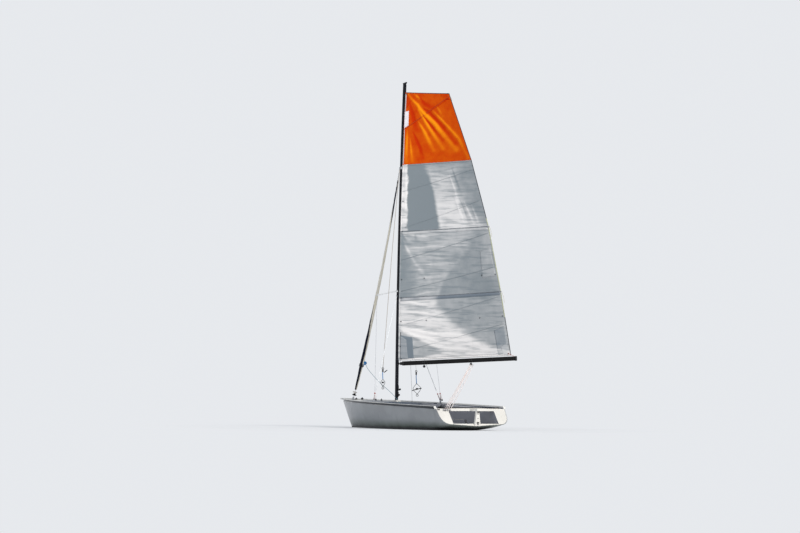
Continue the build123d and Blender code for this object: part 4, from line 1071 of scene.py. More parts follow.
def cloth_grid(name, low, high, cell, finish, thickness):
    """One panel of sail between two stations, with its folds, and the tone of each point."""
    stations = []
    for panel in range(low, high):
        tall = max(span((panel, 1), (panel + 1, 1)), span((panel, 0), (panel + 1, 0)))
        count = max(int(tall / cell), 4)
        stations += [panel + k / count for k in range(count)]
    stations.append(float(high))
    columns = int(span((low, 0), (low, 1)) / cell)
    points, uv, tones = [], [], []
    for station in stations:
        chord = span((station, 0), (station, 1))
        cloth = min(station, SEAM) if low < SEAM else max(station, SEAM + 0.001)
        for k in range(columns + 1):
            across = k / columns
            height = cloth_height(station, across)
            place = sail_base(station, across) + sail_slopes(station, across)[2] * height
            points.append(place)
            uv.append((across * chord, place.z))
            tones.append(min(max(cloth_tone(cloth, across, height), 0.0), 1.0))
    piece = add_mesh(name, points, grid_faces(len(stations), columns + 1), MADE[finish],
                     uv=uv, tones=tones, turn=False)
    solid = piece.modifiers.new("Cloth", "SOLIDIFY")
    solid.thickness, solid.offset = thickness, 0.0
    mesh = plain_mesh(piece)
    piece.modifiers.clear()
    piece.data = mesh
    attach(piece, "boom_and_sail")
    return piece


class DINGHY_OT_mainsail(bpy.types.Operator):
    """Makes the mainsail's white and orange cloth, folded as it hangs"""
    bl_idname = "dinghy.mainsail"
    bl_label = "Mainsail cloth"

    def execute(self, context):
        sizes = context.scene.dinghy_sizes
        white = cloth_grid("sail_white_cloth", 0, SEAM, sizes.cell, "white_cloth", sizes.cloth)
        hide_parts("mainsail_lower")
        orange = cloth_grid("sail_orange_cloth", SEAM, 5, sizes.cell * 0.8, "orange_cloth",
                            sizes.cloth)
        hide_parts("mainsail_head")
        return {"FINISHED"}


# Tapes on the sail. columns: name, finish, width, steps, shift of tone, points as (station, share across)
SAIL_TAPES = [
    ("leech_tape", "tape_cream", 0.018, 110, 0.0, [(0.60, 0.9945), (1, 0.9945), (2, 0.994), (2.12, 0.994)]),
    ("leech_edge_low", "tape_dark", 0.013, 50, 0.0, [(0.01, 0.997), (0.60, 0.997)]),
    ("leech_edge_high", "tape_dark", 0.013, 150, 0.0, [(2.12, 0.996), (3, 0.995), (4, 0.993), (4.985, 0.992)]),
    ("luff_tape", "white_cloth", 0.020, 90, 0.15, [(0.03, 0.006), (1, 0.006), (2, 0.007), (2.99, 0.009)]),
    ("luff_tape_head", "tape_white", 0.022, 60, 0.0, [(3.02, 0.009), (4, 0.013), (4.96, 0.014)]),
    ("luff_cord", "tape_dark", 0.010, 24, 0.0, [(0.03, 0.020), (0.45, 0.020)]),
    ("foot_tape", "white_cloth", 0.030, 70, 0.45, [(0.010, 0.01), (0.010, 0.985)]),
    ("foot_seam", "white_cloth", 0.008, 70, -0.30, [(0.032, 0.02), (0.032, 0.97)]),
    ("head_tape", "tape_dark", 0.012, 26, 0.0, [(4.988, 0.01), (4.988, 0.99)]),
    ("colour_seam", "white_cloth", 0.016, 40, -0.10, [(2.985, 0.01), (2.985, 0.985)]),
    ("pocket_low", "pocket", 0.056, 64, -0.24, [(0.970, 0.015), (0.970, 0.985)]),
    ("pocket_low_hem", "white_cloth", 0.008, 64, -0.20, [(0.945, 0.015), (0.945, 0.985)]),
    ("pocket_middle", "white_cloth", 0.046, 56, 0.14, [(1.970, 0.015), (1.970, 0.985)]),
    ("pocket_head", "orange_cloth", 0.036, 40, -0.10, [(4.0, 0.02), (3.985, 0.96)]),
    ("head_seam", "orange_cloth", 0.010, 26, -0.40, [(4.03, 0.48), (4.02, 0.97)]),
    ("panel_seam_1", "white_cloth", 0.014, 50, -0.12, [(0.56, 0.02), (0.93, 0.98)]),
    ("panel_seam_2", "white_cloth", 0.014, 50, -0.12, [(0.18, 0.13), (0.50, 0.98)]),
    ("panel_seam_3", "white_cloth", 0.014, 46, -0.12, [(1.10, 0.02), (1.38, 0.98)]),
    ("panel_seam_4", "white_cloth", 0.014, 46, -0.12, [(1.57, 0.02), (1.90, 0.98)]),
    ("panel_seam_5", "white_cloth", 0.014, 40, -0.12, [(2.06, 0.05), (2.40, 0.98)]),
    ("panel_seam_6", "white_cloth", 0.014, 36, -0.12, [(2.60, 0.02), (2.86, 0.98)]),
]
# Patches on the sail. columns: name, finish, shift of tone, corners from low left round
SAIL_PATCHES = [
    ("tack_patch", "patch", -0.34, [(0.015, 0.02), (0.015, 0.137), (0.36, 0.125), (0.40, 0.02)]),
    ("tack_patch_inner", "patch", -0.04, [(0.015, 0.02), (0.015, 0.085), (0.33, 0.070), (0.385, 0.02)]),
    ("clew_patch", "patch", -0.06, [(0.02, 0.885), (0.015, 0.975), (0.47, 0.975), (0.40, 0.875)]),
    ("clew_patch_inner", "patch", 0.10, [(0.02, 0.925), (0.015, 0.975), (0.20, 0.975), (0.14, 0.920)]),
    ("leech_patch", "white_cloth", 0.07, [(1.22, 0.83), (1.24, 0.975), (1.68, 0.970), (1.63, 0.85)]),
    ("head_patch_luff", "orange_cloth", -0.10, [(4.55, 0.04), (4.86, 0.24), (4.965, 0.24), (4.965, 0.04)]),
    ("head_patch_leech", "orange_cloth", -0.06, [(4.20, 0.955), (4.62, 0.80), (4.965, 0.80), (4.965, 0.955)]),
    ("luff_window", "tape_pale", 0.0, [(4.03, 0.004), (4.02, 0.096), (4.46, 0.092), (4.47, 0.004)]),
]
EYELETS = [(1.275, 0.022), (1.275, 0.246), (1.263, 0.83), (0.62, 0.022), (0.62, 0.255), (0.61, 0.756),
           (0.03, 0.025), (0.03, 0.978), (4.95, 0.035), (4.95, 0.955), (0.62, 0.975), (1.265, 0.972),
           (0.22, 0.018), (2.45, 0.022), (1.0, 0.022), (2.0, 0.022)]
# How far tapes, patches and eyelets stand off the cloth's middle, each later tape a little more
TAPE_LIFT, PATCH_LIFT, EYELET_LIFT, EYELET_SIZE = 0.0012, 0.0016, 0.0026, 0.024
# Ties at the battens' ends. columns: station, how far they stand out, how far they hang down
BATTEN_TIES = [(1.0, 0.10, 0.21), (2.0, 0.09, 0.20), (3.98, 0.05, 0.09)]

class DINGHY_OT_sail_trim(bpy.types.Operator):
    """Sews the tapes, patches, eyelets, batten ends and ties on the mainsail"""
    bl_idname = "dinghy.sail_trim"
    bl_label = "Mainsail trim"

    def execute(self, context):
        for index, (name, finish, width, steps, shift, path) in enumerate(SAIL_TAPES):
            lift = TAPE_LIFT + 0.0001 * index
            sail_strip(name, band(path, width, steps), 2 if width > 0.02 else 1, lift, finish, shift)
        for index, (name, finish, shift, corners) in enumerate(SAIL_PATCHES):
            sail_strip(name, patch_edges(corners, 16), 12, PATCH_LIFT + 0.0004 * (index % 2), finish, shift)
        places = []
        for station, across in EYELETS:
            facing = sail_slopes(station, across)[2]
            places += [(on_cloth(station, across, side * EYELET_LIFT), facing * side) for side in (1, -1)]
        repeat("sail_eyelets", places, fastener("eyelet"), EYELET_SIZE, "boom_and_sail", "black")
        ends, tails = Form(), Form()
        for station, out, drop in BATTEN_TIES:
            up, aside, facing = sail_slopes(station, 0.99)
            aft = aside.normalized()
            edge = on_cloth(station - 0.004, 0.985)
            if station < SEAM:
                ends.slab(edge + aft * 0.006, aft, up, (0.050, 0.030, 0.010), 0.003)
            tails.cord([edge + aft * 0.020, edge + aft * (0.4 * out) + UP * 0.006,
                        edge + aft * (0.8 * out) - UP * (drop * 0.45), edge + aft * out - UP * drop], 6, 0.0048)
        ends.make("batten_end_caps", "grey", "fitting_black", "boom_and_sail")
        tails.make("batten_ties", "white_rope", "batten_tape", "boom_and_sail")
        return {"FINISHED"}


def smooth_path(points, steps):
    """A smooth run through a few points."""
    points = [Vector(p) for p in points]
    ends = [points[0] * 2 - points[1]] + points + [points[-1] * 2 - points[-2]]
    path = []
    for a, b, c, d in zip(ends, ends[1:], ends[2:], ends[3:]):
        for k in range(steps):
            t = k / steps
            path.append(0.5 * ((2 * b) + (c - a) * t + (2 * a - 5 * b + 4 * c - d) * t * t
                               + (3 * b - a - 3 * c + d) * t ** 3))
    return path + [points[-1]]


# Where the roll's dark cover strip faces. columns: share up the roll, angle from its fore side towards port
STRIP_TURN = [(0.0, 0.55), (0.26, 0.45), (0.34, -0.30), (0.44, -1.0), (0.72, -1.5), (0.80, -2.7), (0.88, -4.3),
              (1.0, -4.9)]
ROLL_ROWS, ROLL_STEPS = 130, 22
# Level way from which the roll's angles count, its twist from foot to head, and the radius of its core as a share
ROLL_FORE, ROLL_TWIST, ROLL_CORE = Vector((0.595, 0.804, 0)), 2.2, 0.10
# Half the cover strip's width as an angle, and the tones of the strip and of the cloth that is rolled in
COVER_HALF, COVER_TONE, INNER_TONE = 1.45, 0.03, 0.9
# The jib's clew, and the sheet's run from it to the port side deck
CLEW = Vector((1.424, -0.004, 1.256))
SHEET_RUN = [(1.11, 0.15, 1.13), (0.558, 0.30, 0.903), (-0.199, 0.50, 0.648)]
SHEET_CLEAT = (-0.57, 0.610)


class DINGHY_OT_jib(bpy.types.Operator):
    """Rolls the jib round its stay, with its cover strip, clew and sheet"""
    bl_idname = "dinghy.jib"
    bl_label = "Rolled jib"

    def execute(self, context):
        sizes = context.scene.dinghy_sizes
        turns, wide = sizes.turns, ROLL_STEPS * sizes.turns + 1
        points, uv, tones = [], [], []
        for row in range(ROLL_ROWS + 1):
            share = row / ROLL_ROWS
            at = ROLL_SHARES[0] + (ROLL_SHARES[1] - ROLL_SHARES[0]) * share
            centre = stay_point(at)
            way = (stay_point(at + 0.002) - stay_point(at - 0.002)).normalized()
            side = (ROLL_FORE - way * ROLL_FORE.dot(way)).normalized()
            other = way.cross(side)
            radius = table_row(ROLL, share)[0] * (1 - 0.35 * soft_step(share, 0.98, 1.0))
            cover = table_row(STRIP_TURN, share)[0]
            for k in range(wide):
                turn = k / ROLL_STEPS
                angle = tau * turn + ROLL_TWIST * share
                size = radius * (ROLL_CORE + (1 - ROLL_CORE) * turn / turns)
                outer = turn > turns - 1.05
                if outer:
                    size += 0.0022 * wander(cos(angle) * 1.4, sin(angle) * 1.4, share * 46)
                    size += 0.0012 * sin(angle * 2 + share * 60)
                points.append(centre + (side * cos(angle) + other * sin(angle)) * size)
                uv.append((turn * radius * 3, at * 4.6))
                apart = (angle - cover + pi) % tau - pi
                dark = soft_step(COVER_HALF - abs(apart), -0.10, 0.10)
                tones.append(1 - (1 - COVER_TONE) * dark if outer else INNER_TONE)
        roll = add_mesh("jib_roll_cloth", points, grid_faces(ROLL_ROWS + 1, wide), MADE["jib_cloth"],
                        "hull", uv, tones, turn=False)
        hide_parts("furled_jib")
        self.clew(sizes)
        return {"FINISHED"}

    def clew(self, sizes):
        """The clew stands out of the roll, with a sheet led to the port side deck."""
        share = (1.25 - STAY_FOOT.z) / (HOUNDS_Z - STAY_FOOT.z)
        root = stay_point(share)
        way = (stay_point(share + 0.01) - root).normalized()
        aft = (CLEW - root).normalized()
        side = way.cross(aft).normalized()
        points = []
        for off in (0.0016, -0.0016):
            for k in range(9):
                base = root + way * (0.30 - 0.40 * k / 8) + aft * 0.024
                outer = base.lerp(CLEW, max(0.05, 0.98 - abs(k / 8 - 0.70) * 1.35))
                points += [base.lerp(outer, j / 4) + side * (off + 0.004 * sin(j + k)) for j in range(5)]
        add_mesh("jib_clew_flap", points, sheet_faces(9, 5), MADE["jib_cloth"], "hull",
                 [(p.x, p.z) for p in points], [0.95] * len(points))
        knot, lashing = Form(), Form()
        for k in range(4):
            knot.ring(CLEW + Vector((-0.004 * k, 0, 0.012 - 0.012 * k)), (0.3, 0.4 * (k - 1), 1), 0.021, 0.0085, 16, 6)
        for k in range(3):
            lashing.ring(root + way * (-0.045 + 0.018 * k), way, 0.042, 0.0065, 22, 6)
        knot.cord([CLEW, CLEW.lerp(root, 0.5) - UP * 0.03, root - way * 0.03 + aft * 0.04], 5, 0.006)
        cleat = (*SHEET_CLEAT, deck_height("side_tank_port", SHEET_CLEAT[0]) + 0.030)
        Form().ring(CLEW - aft * 0.012, side, 0.012, 0.0035).make("jib_clew_ring", "steel", "stainless")
        lashing.make("jib_clew_lashing", "dark_rope", "webbing")
        knot.make("jib_clew_knot", "blue_rope", "webbing")
        Form().cord([CLEW, *SHEET_RUN, cleat], 10, sizes.line * 0.75).make("jib_sheet", "teal_rope", "webbing")


def rope_block(cheeks, sheaves, centre, axis, radius, width):
    """A rope block: its two cheeks, and the sheave between them."""
    axis = Vector(axis).normalized()
    for side in (1, -1):
        cheeks.turned([(radius * 0.35, 0.0), (radius, 0.0), (radius, 0.0015), (radius * 0.8, 0.0035),
                       (radius * 0.3, 0.004)], Vector(centre) + axis * (side * width / 2), axis * side, 22)
    groove = [(0.3, -0.45), (0.86, -0.45), (0.70, -0.15), (0.66, 0), (0.70, 0.15), (0.86, 0.45), (0.3, 0.45)]
    sheaves.turned([(radius * out, width * along) for out, along in groove], centre, axis, 22)


# The mainsheet's parts.
# columns: shift along the track, shift at the boom, radius as a share of the mainsheet's diameter, sag
SHEET_PARTS = [(-0.052, -0.010, 0.5, 0.006), (-0.010, 0.002, 0.5, 0.006), (0.034, 0.014, 0.5, 0.006),
               (0.090, 0.060, 0.46, 0.016)]
SHEET_STEPS = 24
# Where the sheet leaves the boom, how far its block hangs under it, and the lower blocks' height
SHEET_ALONG, SHEET_DROP, CAR_BLOCK_Z = 1.450, 0.034, 0.388


class DINGHY_OT_mainsheet(bpy.types.Operator):
    """Reeves the mainsheet from the traveller car to the boom"""
    bl_idname = "dinghy.mainsheet"
    bl_label = "Mainsheet"

    def execute(self, context):
        sizes = context.scene.dinghy_sizes
        low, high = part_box("mainsheet_car")
        middle = [(a + b) / 2 for a, b in zip(low, high)]
        car = Vector((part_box("transom_beam")[0][0] - 0.020, middle[1] - 0.045, CAR_BLOCK_Z))
        boom = on_boom(SHEET_ALONG, 0, -BOOM_DEPTH / 2 - SHEET_DROP)
        way = (boom - car).normalized()
        cheeks, sheaves, ropes, strops = Form(), Form(), Form(), Form()
        for low_shift, high_shift, share, sag in SHEET_PARTS:
            start, end = car - PORT * low_shift, boom - PORT * high_shift - way * 0.022
            rope_block(cheeks, sheaves, start, way.cross(-PORT), 0.014, 0.012)
            hook = Vector((middle[0], middle[1] - 0.4 * low_shift, low[2] + 0.012))
            bend = Vector((low[0] - 0.012, (hook.y + start.y) / 2, high[2] - 0.004))
            strops.cord([hook, bend, start], 6, 0.0045)
            path = []
            for k in range(SHEET_STEPS + 1):
                t = k / SHEET_STEPS
                path.append((start + way * 0.012).lerp(end, t) - UP * (sag * 4 * t * (1 - t)))
            ropes.tube(path, sizes.sheet * share, 10)
        cheeks.make("car_blocks", "grey", "fitting_black")
        sheaves.make("car_sheaves", "black", "fitting_black")
        strops.make("car_strops", "dark_rope", "webbing")
        piece = ropes.make("mainsheet_lines", "sheet_rope", "webbing", None)
        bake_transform(piece)
        return {"FINISHED"}


# Trapeze gear on each side. columns: top of the handle, blue line's foot, two ends and foot of the bow beneath,
# handle bar's ends
TRAPEZE = [
    ((0.262, 0.42, 1.148), (0.257, 0.42, 0.946), (0.325, 0.42, 0.885), (0.190, 0.42, 0.885), (0.255, 0.42, 0.800),
     (0.215, 0.42, 1.081), (0.124, 0.42, 1.122)),
    ((0.290, -0.40, 1.100), (0.275, -0.40, 0.870), (0.386, -0.40, 0.760), (0.137, -0.40, 0.777),
     (0.249, -0.40, 0.665), (0.414, -0.40, 0.733), (0.120, -0.40, 0.782)),
]
# Heads of a port shroud over the spreader tip and of a port lower shroud
SHROUD_HEADS = [(0.208, 0.619, 2.559), (0.364, 0.035, 2.554)]
SHROUD_GAP = 0.015
# The spinnaker halyard's run under its head, down to the foredeck
SPINNAKER_RUN = [(0.404, -0.35, 1.207), (0.392, -0.37, 0.80)]
SPINNAKER_FOOT = (0.384, -0.38)
HALYARD_FOOT_Z = 0.70


def mirrored(point, side):
    """A place on the port side, or the same on the starboard side."""
    return Vector((point[0], side * point[1], point[2]))


class DINGHY_OT_rigging(bpy.types.Operator):
    """Hangs the trapeze gear, shroud adjusters, halyards and control lines"""
    bl_idname = "dinghy.rigging"
    bl_label = "Light rigging"

    def execute(self, context):
        wires, plastics, rings, blues, lashings, clamps, sleeves = (Form() for k in range(7))
        for side, row in zip((1, -1), TRAPEZE):
            grip, knee, fore, aft, foot, bar, bar_end = (Vector(p) for p in row)
            top = Vector((mast_x(HOUNDS_Z) + 0.006, side * (MAST_RY + 0.014), HOUNDS_Z - 0.02))
            middle = top.lerp(grip, 0.5) + Vector((0.010, side * 0.006, 0))
            wires.cord([top, top.lerp(middle, 0.5) + FORE * 0.004, middle, grip], 10, 0.0052 if side > 0 else 0.0022)
            plastics.slab(grip - UP * 0.035, UP, FORE, (0.060, 0.030, 0.020))
            plastics.tube([bar, bar_end], 0.0085, 10)
            rings.ring(grip + UP * 0.006, (0.8, -0.6, 0), 0.017, 0.0045)
            blues.cord([grip - UP * 0.06, grip.lerp(knee, 0.55) + Vector((0.004, 0.003, 0)), knee], 6, 0.0075)
            for corner in (fore, aft):
                rings.cord([knee, corner, foot], 6, 0.0042)
            rings.bow(foot - UP * 0.022, (0.6, 0.8, 0), UP, 0.020, 0.0045)
            plastics.slab(fore.lerp(aft, 0.5), FORE, UP, (0.050, 0.030, 0.022))
            self.shroud_ends(side, lashings, clamps, rings)
            foot = mirrored(CHAINPLATE + FORE * SHROUD_GAP, side)
            head = mirrored(SHROUD_HEADS[1], side)
            sleeves.tube([foot.lerp(head, 0.09 + 0.90 * k / 12) for k in range(13)], 0.0062, 10)
        high = Vector((mast_x(HOUNDS_Z) + 0.02, -(MAST_RY + 0.012), HOUNDS_Z - 0.04))
        foot = (*SPINNAKER_FOOT, deck_height("bow_tank", *SPINNAKER_FOOT))
        halyard = Form().cord([high, high.lerp(Vector(SPINNAKER_RUN[0]), 0.5), *SPINNAKER_RUN, foot], 10, 0.0022)
        for form, name, finish, slot in (
                (sleeves, "shroud_sleeves", "wire", "stainless"), (wires, "trapeze_wires", "trapeze", "stainless"),
                (plastics, "trapeze_handles", "black", "fitting_black"),
                (rings, "trapeze_rings", "black", "stainless"), (blues, "trapeze_adjusters", "blue_rope", "webbing"),
                (halyard, "spinnaker_halyard", "dark_rope", "webbing"),
                (lashings, "shroud_lashings", "sheet_rope", "webbing"),
                (clamps, "shroud_clamps", "red", "fitting_black")):
            form.make(name, finish, slot)
        self.spar_lines()
        return {"FINISHED"}

    def shroud_ends(self, side, lashings, clamps, rings):
        """The lashings, clamps and pins above each chainplate."""
        for gap, top in zip((-SHROUD_GAP, SHROUD_GAP), SHROUD_HEADS):
            foot = mirrored(CHAINPLATE + FORE * gap, side)
            way = (mirrored(top, side) - foot).normalized()
            for shift in (-0.008, 0.0, 0.008):
                lashings.tube([foot + FORE * (shift * 1.4), foot + way * 0.115 + FORE * shift], 0.0045)
            clamps.turned([(0.006, -0.006), (0.012, 0.0), (0.012, 0.016), (0.006, 0.022)], foot + way * 0.112, way, 14)
            rings.tube([foot + Vector((0, y, 0.002)) for y in (-0.012, 0.012)], 0.0045, 10)
        aft_x = CHAINPLATE.x - 0.055
        rings.slab((aft_x, side * CHAINPLATE.y, 0.556), UP, FORE, (0.034, 0.026, 0.020))
        lashings.tube([(aft_x, side * CHAINPLATE.y, 0.565), (aft_x + 0.003, side * (CHAINPLATE.y - 0.012), 0.660)],
                      0.0045)

    def spar_lines(self):
        """Halyards down the mast, the outhaul and the tack line."""
        halyards = Form()
        for offset, top in ((0.012, HOUNDS_Z), (-0.014, MAST_TOP_Z - 0.02)):
            heights = [HALYARD_FOOT_Z + (top - HALYARD_FOOT_Z) * k / 24 for k in range(25)]
            halyards.tube([(mast_x(z) + offset, -(MAST_RY + 0.0030), z) for z in heights], 0.0025)
        halyards.make("halyards", "dark_rope", "webbing")
        clew, end = on_cloth(0.03, 0.978), on_boom(BOOM_LENGTH - 0.02, 0, BOOM_DEPTH / 2)
        outhaul = Form().cord([clew, clew.lerp(end, 0.5) - UP * 0.003, end], 6, 0.0035)
        outhaul.ring(clew, sail_slopes(0.03, 0.978)[1], 0.014, 0.003, 18)
        outhaul.make("clew_outhaul", "red", "webbing", "boom_and_sail")
        tack = Form().cord([on_cloth(0.03, 0.025), AXIS_FOOT + Vector((-0.02, -0.01, 0.03))], 4, 0.003)
        tack.make("tack_line", "dark_rope", "webbing", "boom_and_sail")


# Fittings along the middle of the foredeck. columns: place, length, height
DECK_FITTINGS = [(1.700, 0.052, 0.026), (1.505, 0.056, 0.034), (0.870, 0.026, 0.026)]
# Levers at the mast's cleats. columns: height, distance out from the mast's middle
MAST_LEVERS = [(0.752, 0.062), (0.645, 0.044)]
# Dark bolts on the rudder post between its gudgeons, and dark domes that paint the shade of its holes. columns:
# height, radius
POST_BOLTS_AND_HOLE_SHADES = [(0.318, 0.011), (0.232, 0.009), (0.120, 0.013)]
JIB_TRACK_Y, JIB_CAR_X = 0.628, -0.04
# The hatches' middle and the radius of their screws, the straps' screws and the rudder post's
HATCH, HATCH_SCREWS = (0.290, 0.300, 0.310), 0.069
STRAP_SCREWS = [((-0.424, 0.330, 0.150), 1), ((-1.426, 0.330, 0.150), -1)]
POST_SCREWS = [(-2.2235, y, z) for z in (0.150, 0.355) for y in (0.018, -0.018)]
BOOM_RIVETS = (0.10, BOOM_LENGTH - 0.03, 1.43, 1.47, 0.49, 0.53)


class DINGHY_OT_fittings(bpy.types.Operator):
    """Sets the deck, transom, mast and boom fittings with their screws and rivets"""
    bl_idname = "dinghy.fittings"
    bl_label = "Fittings and screws"

    def execute(self, context):
        black, grey, metal, bolts_and_hole_shades = Form(), Form(), Form(), Form()
        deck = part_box("jib_tracks")[1][2]
        cleat_z = deck_height("side_tank_port", SHEET_CLEAT[0])
        for side in (1, -1):
            car = Vector((JIB_CAR_X, side * JIB_TRACK_Y, deck))
            black.slab(car + UP * 0.006, FORE, PORT, (0.060, 0.030, 0.014), 0.004)
            grey.turned([(0.004, 0.0), (0.012, 0.001), (0.012, 0.006), (0.004, 0.008)], car + UP * 0.012, UP, 16)
            cleat = mirrored((*SHEET_CLEAT, cleat_z), side)
            black.slab(cleat + UP * 0.010, FORE, PORT, (0.070, 0.036, 0.022))
            black.slab(cleat + Vector((-0.004, 0, 0.026)), (1, 0, 0.25), PORT, (0.040, 0.012, 0.012), 0.004)
        found, corner, facing, _ = frame["nodes"]["side_tank_port"].ray_cast(Vector((-3.0, 0.765, 0.392)), FORE)
        if not found:
            raise RuntimeError("The port side tank has no transom corner for its slot piece")
        black.slab(corner + facing * 0.003, PORT, facing, (0.060, 0.012, 0.018), 0.004)
        fore = stay_point(0.0)
        metal.ring(fore + Vector((0.035, 0, -0.010)), PORT, 0.016, 0.004)
        metal.ring(fore + UP * 0.012, FORE, 0.012, 0.0035, 18)
        for x, long, tall in DECK_FITTINGS:
            place = Vector((x, 0, deck_height("bow_tank", x, 0)))
            black.slab(place + UP * (tall * 0.45), FORE, PORT, (long, 0.026, tall))
            black.ring(place + UP * tall, PORT, 0.010, 0.0035, 16)
        for z, out in MAST_LEVERS:
            place = Vector((mast_x(z), 0, z)) + Vector((-0.86, -0.51, 0)) * out
            black.slab(place, (-0.86, -0.51, 0.25), UP, (0.050, 0.034, 0.024))
        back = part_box("rudder_post")[0][0]
        # Dark domes: bolts, and painted shade where the post has holes
        for z, size in POST_BOLTS_AND_HOLE_SHADES:
            bolts_and_hole_shades.turned([(size * 0.5, -0.006), (size, -0.001), (size, 0.003), (size * 0.6, 0.007)],
                         (back, 0, z), -FORE, 18)
        toggle = Form().slab(on_boom(0.052, 0, 0.0), on_boom(1, 0, 0) - on_boom(0, 0, 0), UP,
                             (0.056, 0.058, 0.036), 0.012)
        toggle.make("gooseneck_toggle", "black", "fitting_black", "boom_and_sail")
        black.make("deck_fittings", "black", "fitting_black")
        grey.make("deck_sheaves", "grey", "fitting_black")
        metal.make("bow_shackles", "steel", "stainless")
        bolts_and_hole_shades.make("post_bungs", "black", "fitting_black")
        self.screws(context.scene.dinghy_sizes.screw)
        return {"FINISHED"}

    def screws(self, size):
        """Screws and rivets along the track, the straps, the fittings and the spars."""
        screw, rivet = fastener("screw"), fastener("rivet")
        low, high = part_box("mainsheet_track")
        middle, first, reach = (low[0] + high[0]) / 2, low[1] + 0.04, high[1] - low[1] - 0.08
        repeat("track_screws", [((middle, first + reach * k / 13, high[2] - 0.006), UP) for k in range(14)],
               screw, size)
        places = []
        for side in (1, -1):
            for k in range(3):
                places.append(((-0.13 + 0.09 * k, side * JIB_TRACK_Y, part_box("jib_tracks")[1][2]), UP))
            places += [(mirrored(HATCH, side) + way * HATCH_SCREWS, -FORE) for way in around(PORT, UP, 8)]
            places += [(mirrored(place, side), (facing, 0, 0.4)) for place, facing in STRAP_SCREWS]
        places += [(place, -FORE) for place in POST_SCREWS]
        repeat("fitting_screws", places, screw, size)
        places = []
        for k in range(8):
            angle = tau * (k + 0.5) / 8
            z = HOUNDS_Z + (0.012 if k % 2 else -0.012)
            places.append((Vector((mast_x(z) + (MAST_RX + 0.004) * cos(angle), (MAST_RY + 0.004) * sin(angle), z)),
                           (cos(angle), sin(angle), 0)))
        repeat("mast_rivets", places, rivet, 0.007)
        places = [(on_boom(along, side * 0.026, 0.012), on_boom(along, side, 0) - on_boom(along, 0, 0))
                  for along in BOOM_RIVETS for side in (1, -1)]
        repeat("boom_rivets", places, rivet, 0.008, "boom_and_sail")
        clear_patterns()


def deck_height(node, x, y=0.62):
    """Height of a frame piece's upper surface under a place. The usual one is the side deck beside the well."""
    found, place, _, _ = frame["nodes"][node].ray_cast(Vector((x, y, 2)), -UP)
    if not found:
        raise RuntimeError(f"{node} has no surface under {x}, {y}")
    return place.z


# The photograph's viewpoint, from the port quarter and far off, as it was fitted to points of the boat: angles in
# degrees, and the picture's width, height, focal length and middle in picture elements
VIEW_AZIMUTH, VIEW_ELEVATION, VIEW_ROLL, VIEW_DISTANCE, VIEW_TARGET = 233.497, -0.458, -0.641, 104.7245, UP * 2.2
PICTURE_WIDTH, PICTURE_HEIGHT, FOCAL_LENGTH, MIDDLE_X, MIDDLE_Y = 800.0, 533.0, 5446.0, 409.162, 314.360
SENSOR_WIDTH = 36.0
SKY_COLOUR = tint(0.905, 0.915, 0.93)
# columns: name, the way it stands, strength as a share of the key's, how wide it is in degrees, colour
LAMPS = [("key", (-0.95, -0.18, 0.62), 1.0, 24, (1.0, 0.965, 0.92)),
         ("fill", (-0.35, 0.9, 0.45), 0.22, 60, (0.90, 0.94, 1.0))]
FLOOR_RINGS, FLOOR_SIDES = [3, 6, 12, 40, 120], 64


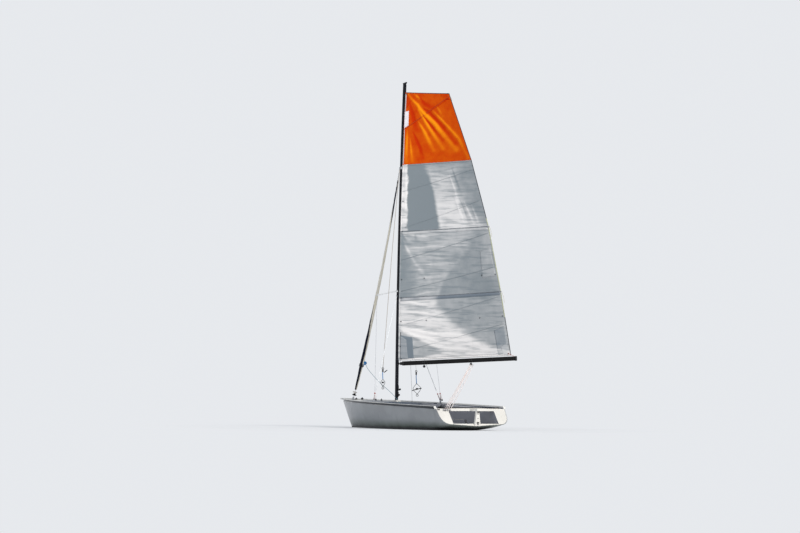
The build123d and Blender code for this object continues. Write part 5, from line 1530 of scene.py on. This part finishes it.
class DINGHY_OT_stage(bpy.types.Operator):
    """Lays the pale floor at the waterline and sets the soft light and the camera"""
    bl_idname = "dinghy.stage"
    bl_label = "Stage, light and camera"

    def execute(self, context):
        stage = context.scene.dinghy_stage
        rings = FLOOR_RINGS + [stage.floor]
        points = [(0, 0, 0)] + [way * r for r in rings for way in around(FORE, PORT, FLOOR_SIDES)]
        faces = [[0, 1 + k, 1 + (k + 1) % FLOOR_SIDES] for k in range(FLOOR_SIDES)]
        for row in range(len(rings) - 1):
            for k in range(FLOOR_SIDES):
                a, b = 1 + row * FLOOR_SIDES + k, 1 + row * FLOOR_SIDES + (k + 1) % FLOOR_SIDES
                faces.append([a, a + FLOOR_SIDES, b + FLOOR_SIDES, b])
        add_mesh("floor_at_waterline", points, faces, self.floor_finish())
        world = bpy.data.worlds.new("soft_sky")
        context.scene.world = world
        world.use_nodes = True
        tree = world.node_tree
        back, ray = tree.nodes["Background"], tree.nodes.new("ShaderNodeLightPath")
        strength = tree.nodes.new("ShaderNodeMapRange")
        strength.inputs["To Min"].default_value = stage.sky
        strength.inputs["To Max"].default_value = 1.0
        tree.links.new(ray.outputs["Is Camera Ray"], strength.inputs["Value"])
        tree.links.new(strength.outputs[0], back.inputs["Strength"])
        back.inputs["Color"].default_value = SKY_COLOUR
        for name, way, share, width, colour in LAMPS:
            light = bpy.data.lights.new(name, "SUN")
            light.energy, light.angle, light.color = stage.sun * share, radians(width), colour
            lamp = link(name, light)
            lamp.rotation_mode = "QUATERNION"
            lamp.rotation_quaternion = Vector(way).to_track_quat("Z", "Y")
        self.camera(context)
        context.scene.view_settings.view_transform = "Standard"
        return {"FINISHED"}

    def floor_finish(self):
        """Pale matt floor that keeps the shadow near the boat and meets the sky far off."""
        finish = Finish("floor_pale", 0.9)
        finish.shader.inputs["Base Color"].default_value = tint(0.955, 0.965, 0.98)
        glow = finish.node("ShaderNodeEmission", {"Color": SKY_COLOUR, "Strength": 1.0})
        far = finish.node("ShaderNodeVectorMath", {0: finish.where()}, operation="LENGTH").outputs["Value"]
        ray = finish.node("ShaderNodeLightPath").outputs["Is Camera Ray"]
        share = finish.times(finish.most(finish.ramp(far, 2.2, 5.5), 0.35), ray)
        mixed = finish.node("ShaderNodeMixShader", {0: share, 1: finish.shader.outputs[0], 2: glow.outputs[0]})
        output = next(n for n in finish.tree.nodes if n.type == "OUTPUT_MATERIAL")
        finish.tree.links.new(mixed.outputs[0], output.inputs["Surface"])
        return finish.material

    def camera(self, context):
        """Sets the camera at the photograph's viewpoint."""
        azimuth, elevation, roll = radians(VIEW_AZIMUTH), radians(VIEW_ELEVATION), radians(VIEW_ROLL)
        back = Vector((sin(azimuth) * cos(elevation), -cos(azimuth) * cos(elevation), sin(elevation)))
        right = Vector((cos(azimuth), sin(azimuth), 0))
        up = back.cross(right)
        data = bpy.data.cameras.new("camera")
        data.sensor_fit, data.sensor_width = "HORIZONTAL", SENSOR_WIDTH
        data.lens = FOCAL_LENGTH * SENSOR_WIDTH / PICTURE_WIDTH
        data.shift_x = (PICTURE_WIDTH / 2 - MIDDLE_X) / PICTURE_WIDTH
        data.shift_y = (MIDDLE_Y - PICTURE_HEIGHT / 2) / PICTURE_WIDTH
        data.clip_start, data.clip_end = 1.0, 3000.0
        camera = link("camera", data)
        camera.rotation_mode = "QUATERNION"
        camera.rotation_quaternion = Matrix((right * cos(roll) - up * sin(roll), right * sin(roll) + up * cos(roll),
                                             back)).transposed().to_quaternion()
        camera.location = VIEW_TARGET + back * VIEW_DISTANCE
        context.scene.camera = camera


class DINGHY_PT_panel(bpy.types.Panel):
    """The dinghy's pieces in the sidebar"""
    bl_label = "Dinghy"
    bl_idname = "DINGHY_PT_panel"
    bl_space_type = "VIEW_3D"
    bl_region_type = "UI"
    bl_category = "Dinghy"

    def draw(self, context):
        for group in (context.scene.dinghy_colours, context.scene.dinghy_sizes, context.scene.dinghy_stage):
            box = self.layout.box()
            for value in group.__annotations__:
                box.prop(group, value)
        for step in STEPS:
            self.layout.operator(step.bl_idname)


GROUPS = {"dinghy_colours": DinghyColours, "dinghy_sizes": DinghySizes, "dinghy_stage": DinghyStage}
STEPS = [DINGHY_OT_finishes, DINGHY_OT_mainsail, DINGHY_OT_sail_trim, DINGHY_OT_jib, DINGHY_OT_mainsheet,
         DINGHY_OT_rigging, DINGHY_OT_fittings, DINGHY_OT_stage]


def register():
    """Adds the values, operators and panel to Blender."""
    for group in list(GROUPS.values()) + STEPS + [DINGHY_PT_panel]:
        bpy.utils.register_class(group)
    for name, group in GROUPS.items():
        setattr(bpy.types.Scene, name, PointerProperty(type=group))


def unregister():
    """Takes away what register adds."""
    for name in GROUPS:
        delattr(bpy.types.Scene, name)
    for group in [DINGHY_PT_panel] + STEPS[::-1] + list(GROUPS.values())[::-1]:
        bpy.utils.unregister_class(group)


def main():
    """Builds every piece and the stage."""
    register()
    for step in STEPS:
        family, call = step.bl_idname.split(".")
        getattr(getattr(bpy.ops, family), call)()


if __name__ == "__main__":
    main()
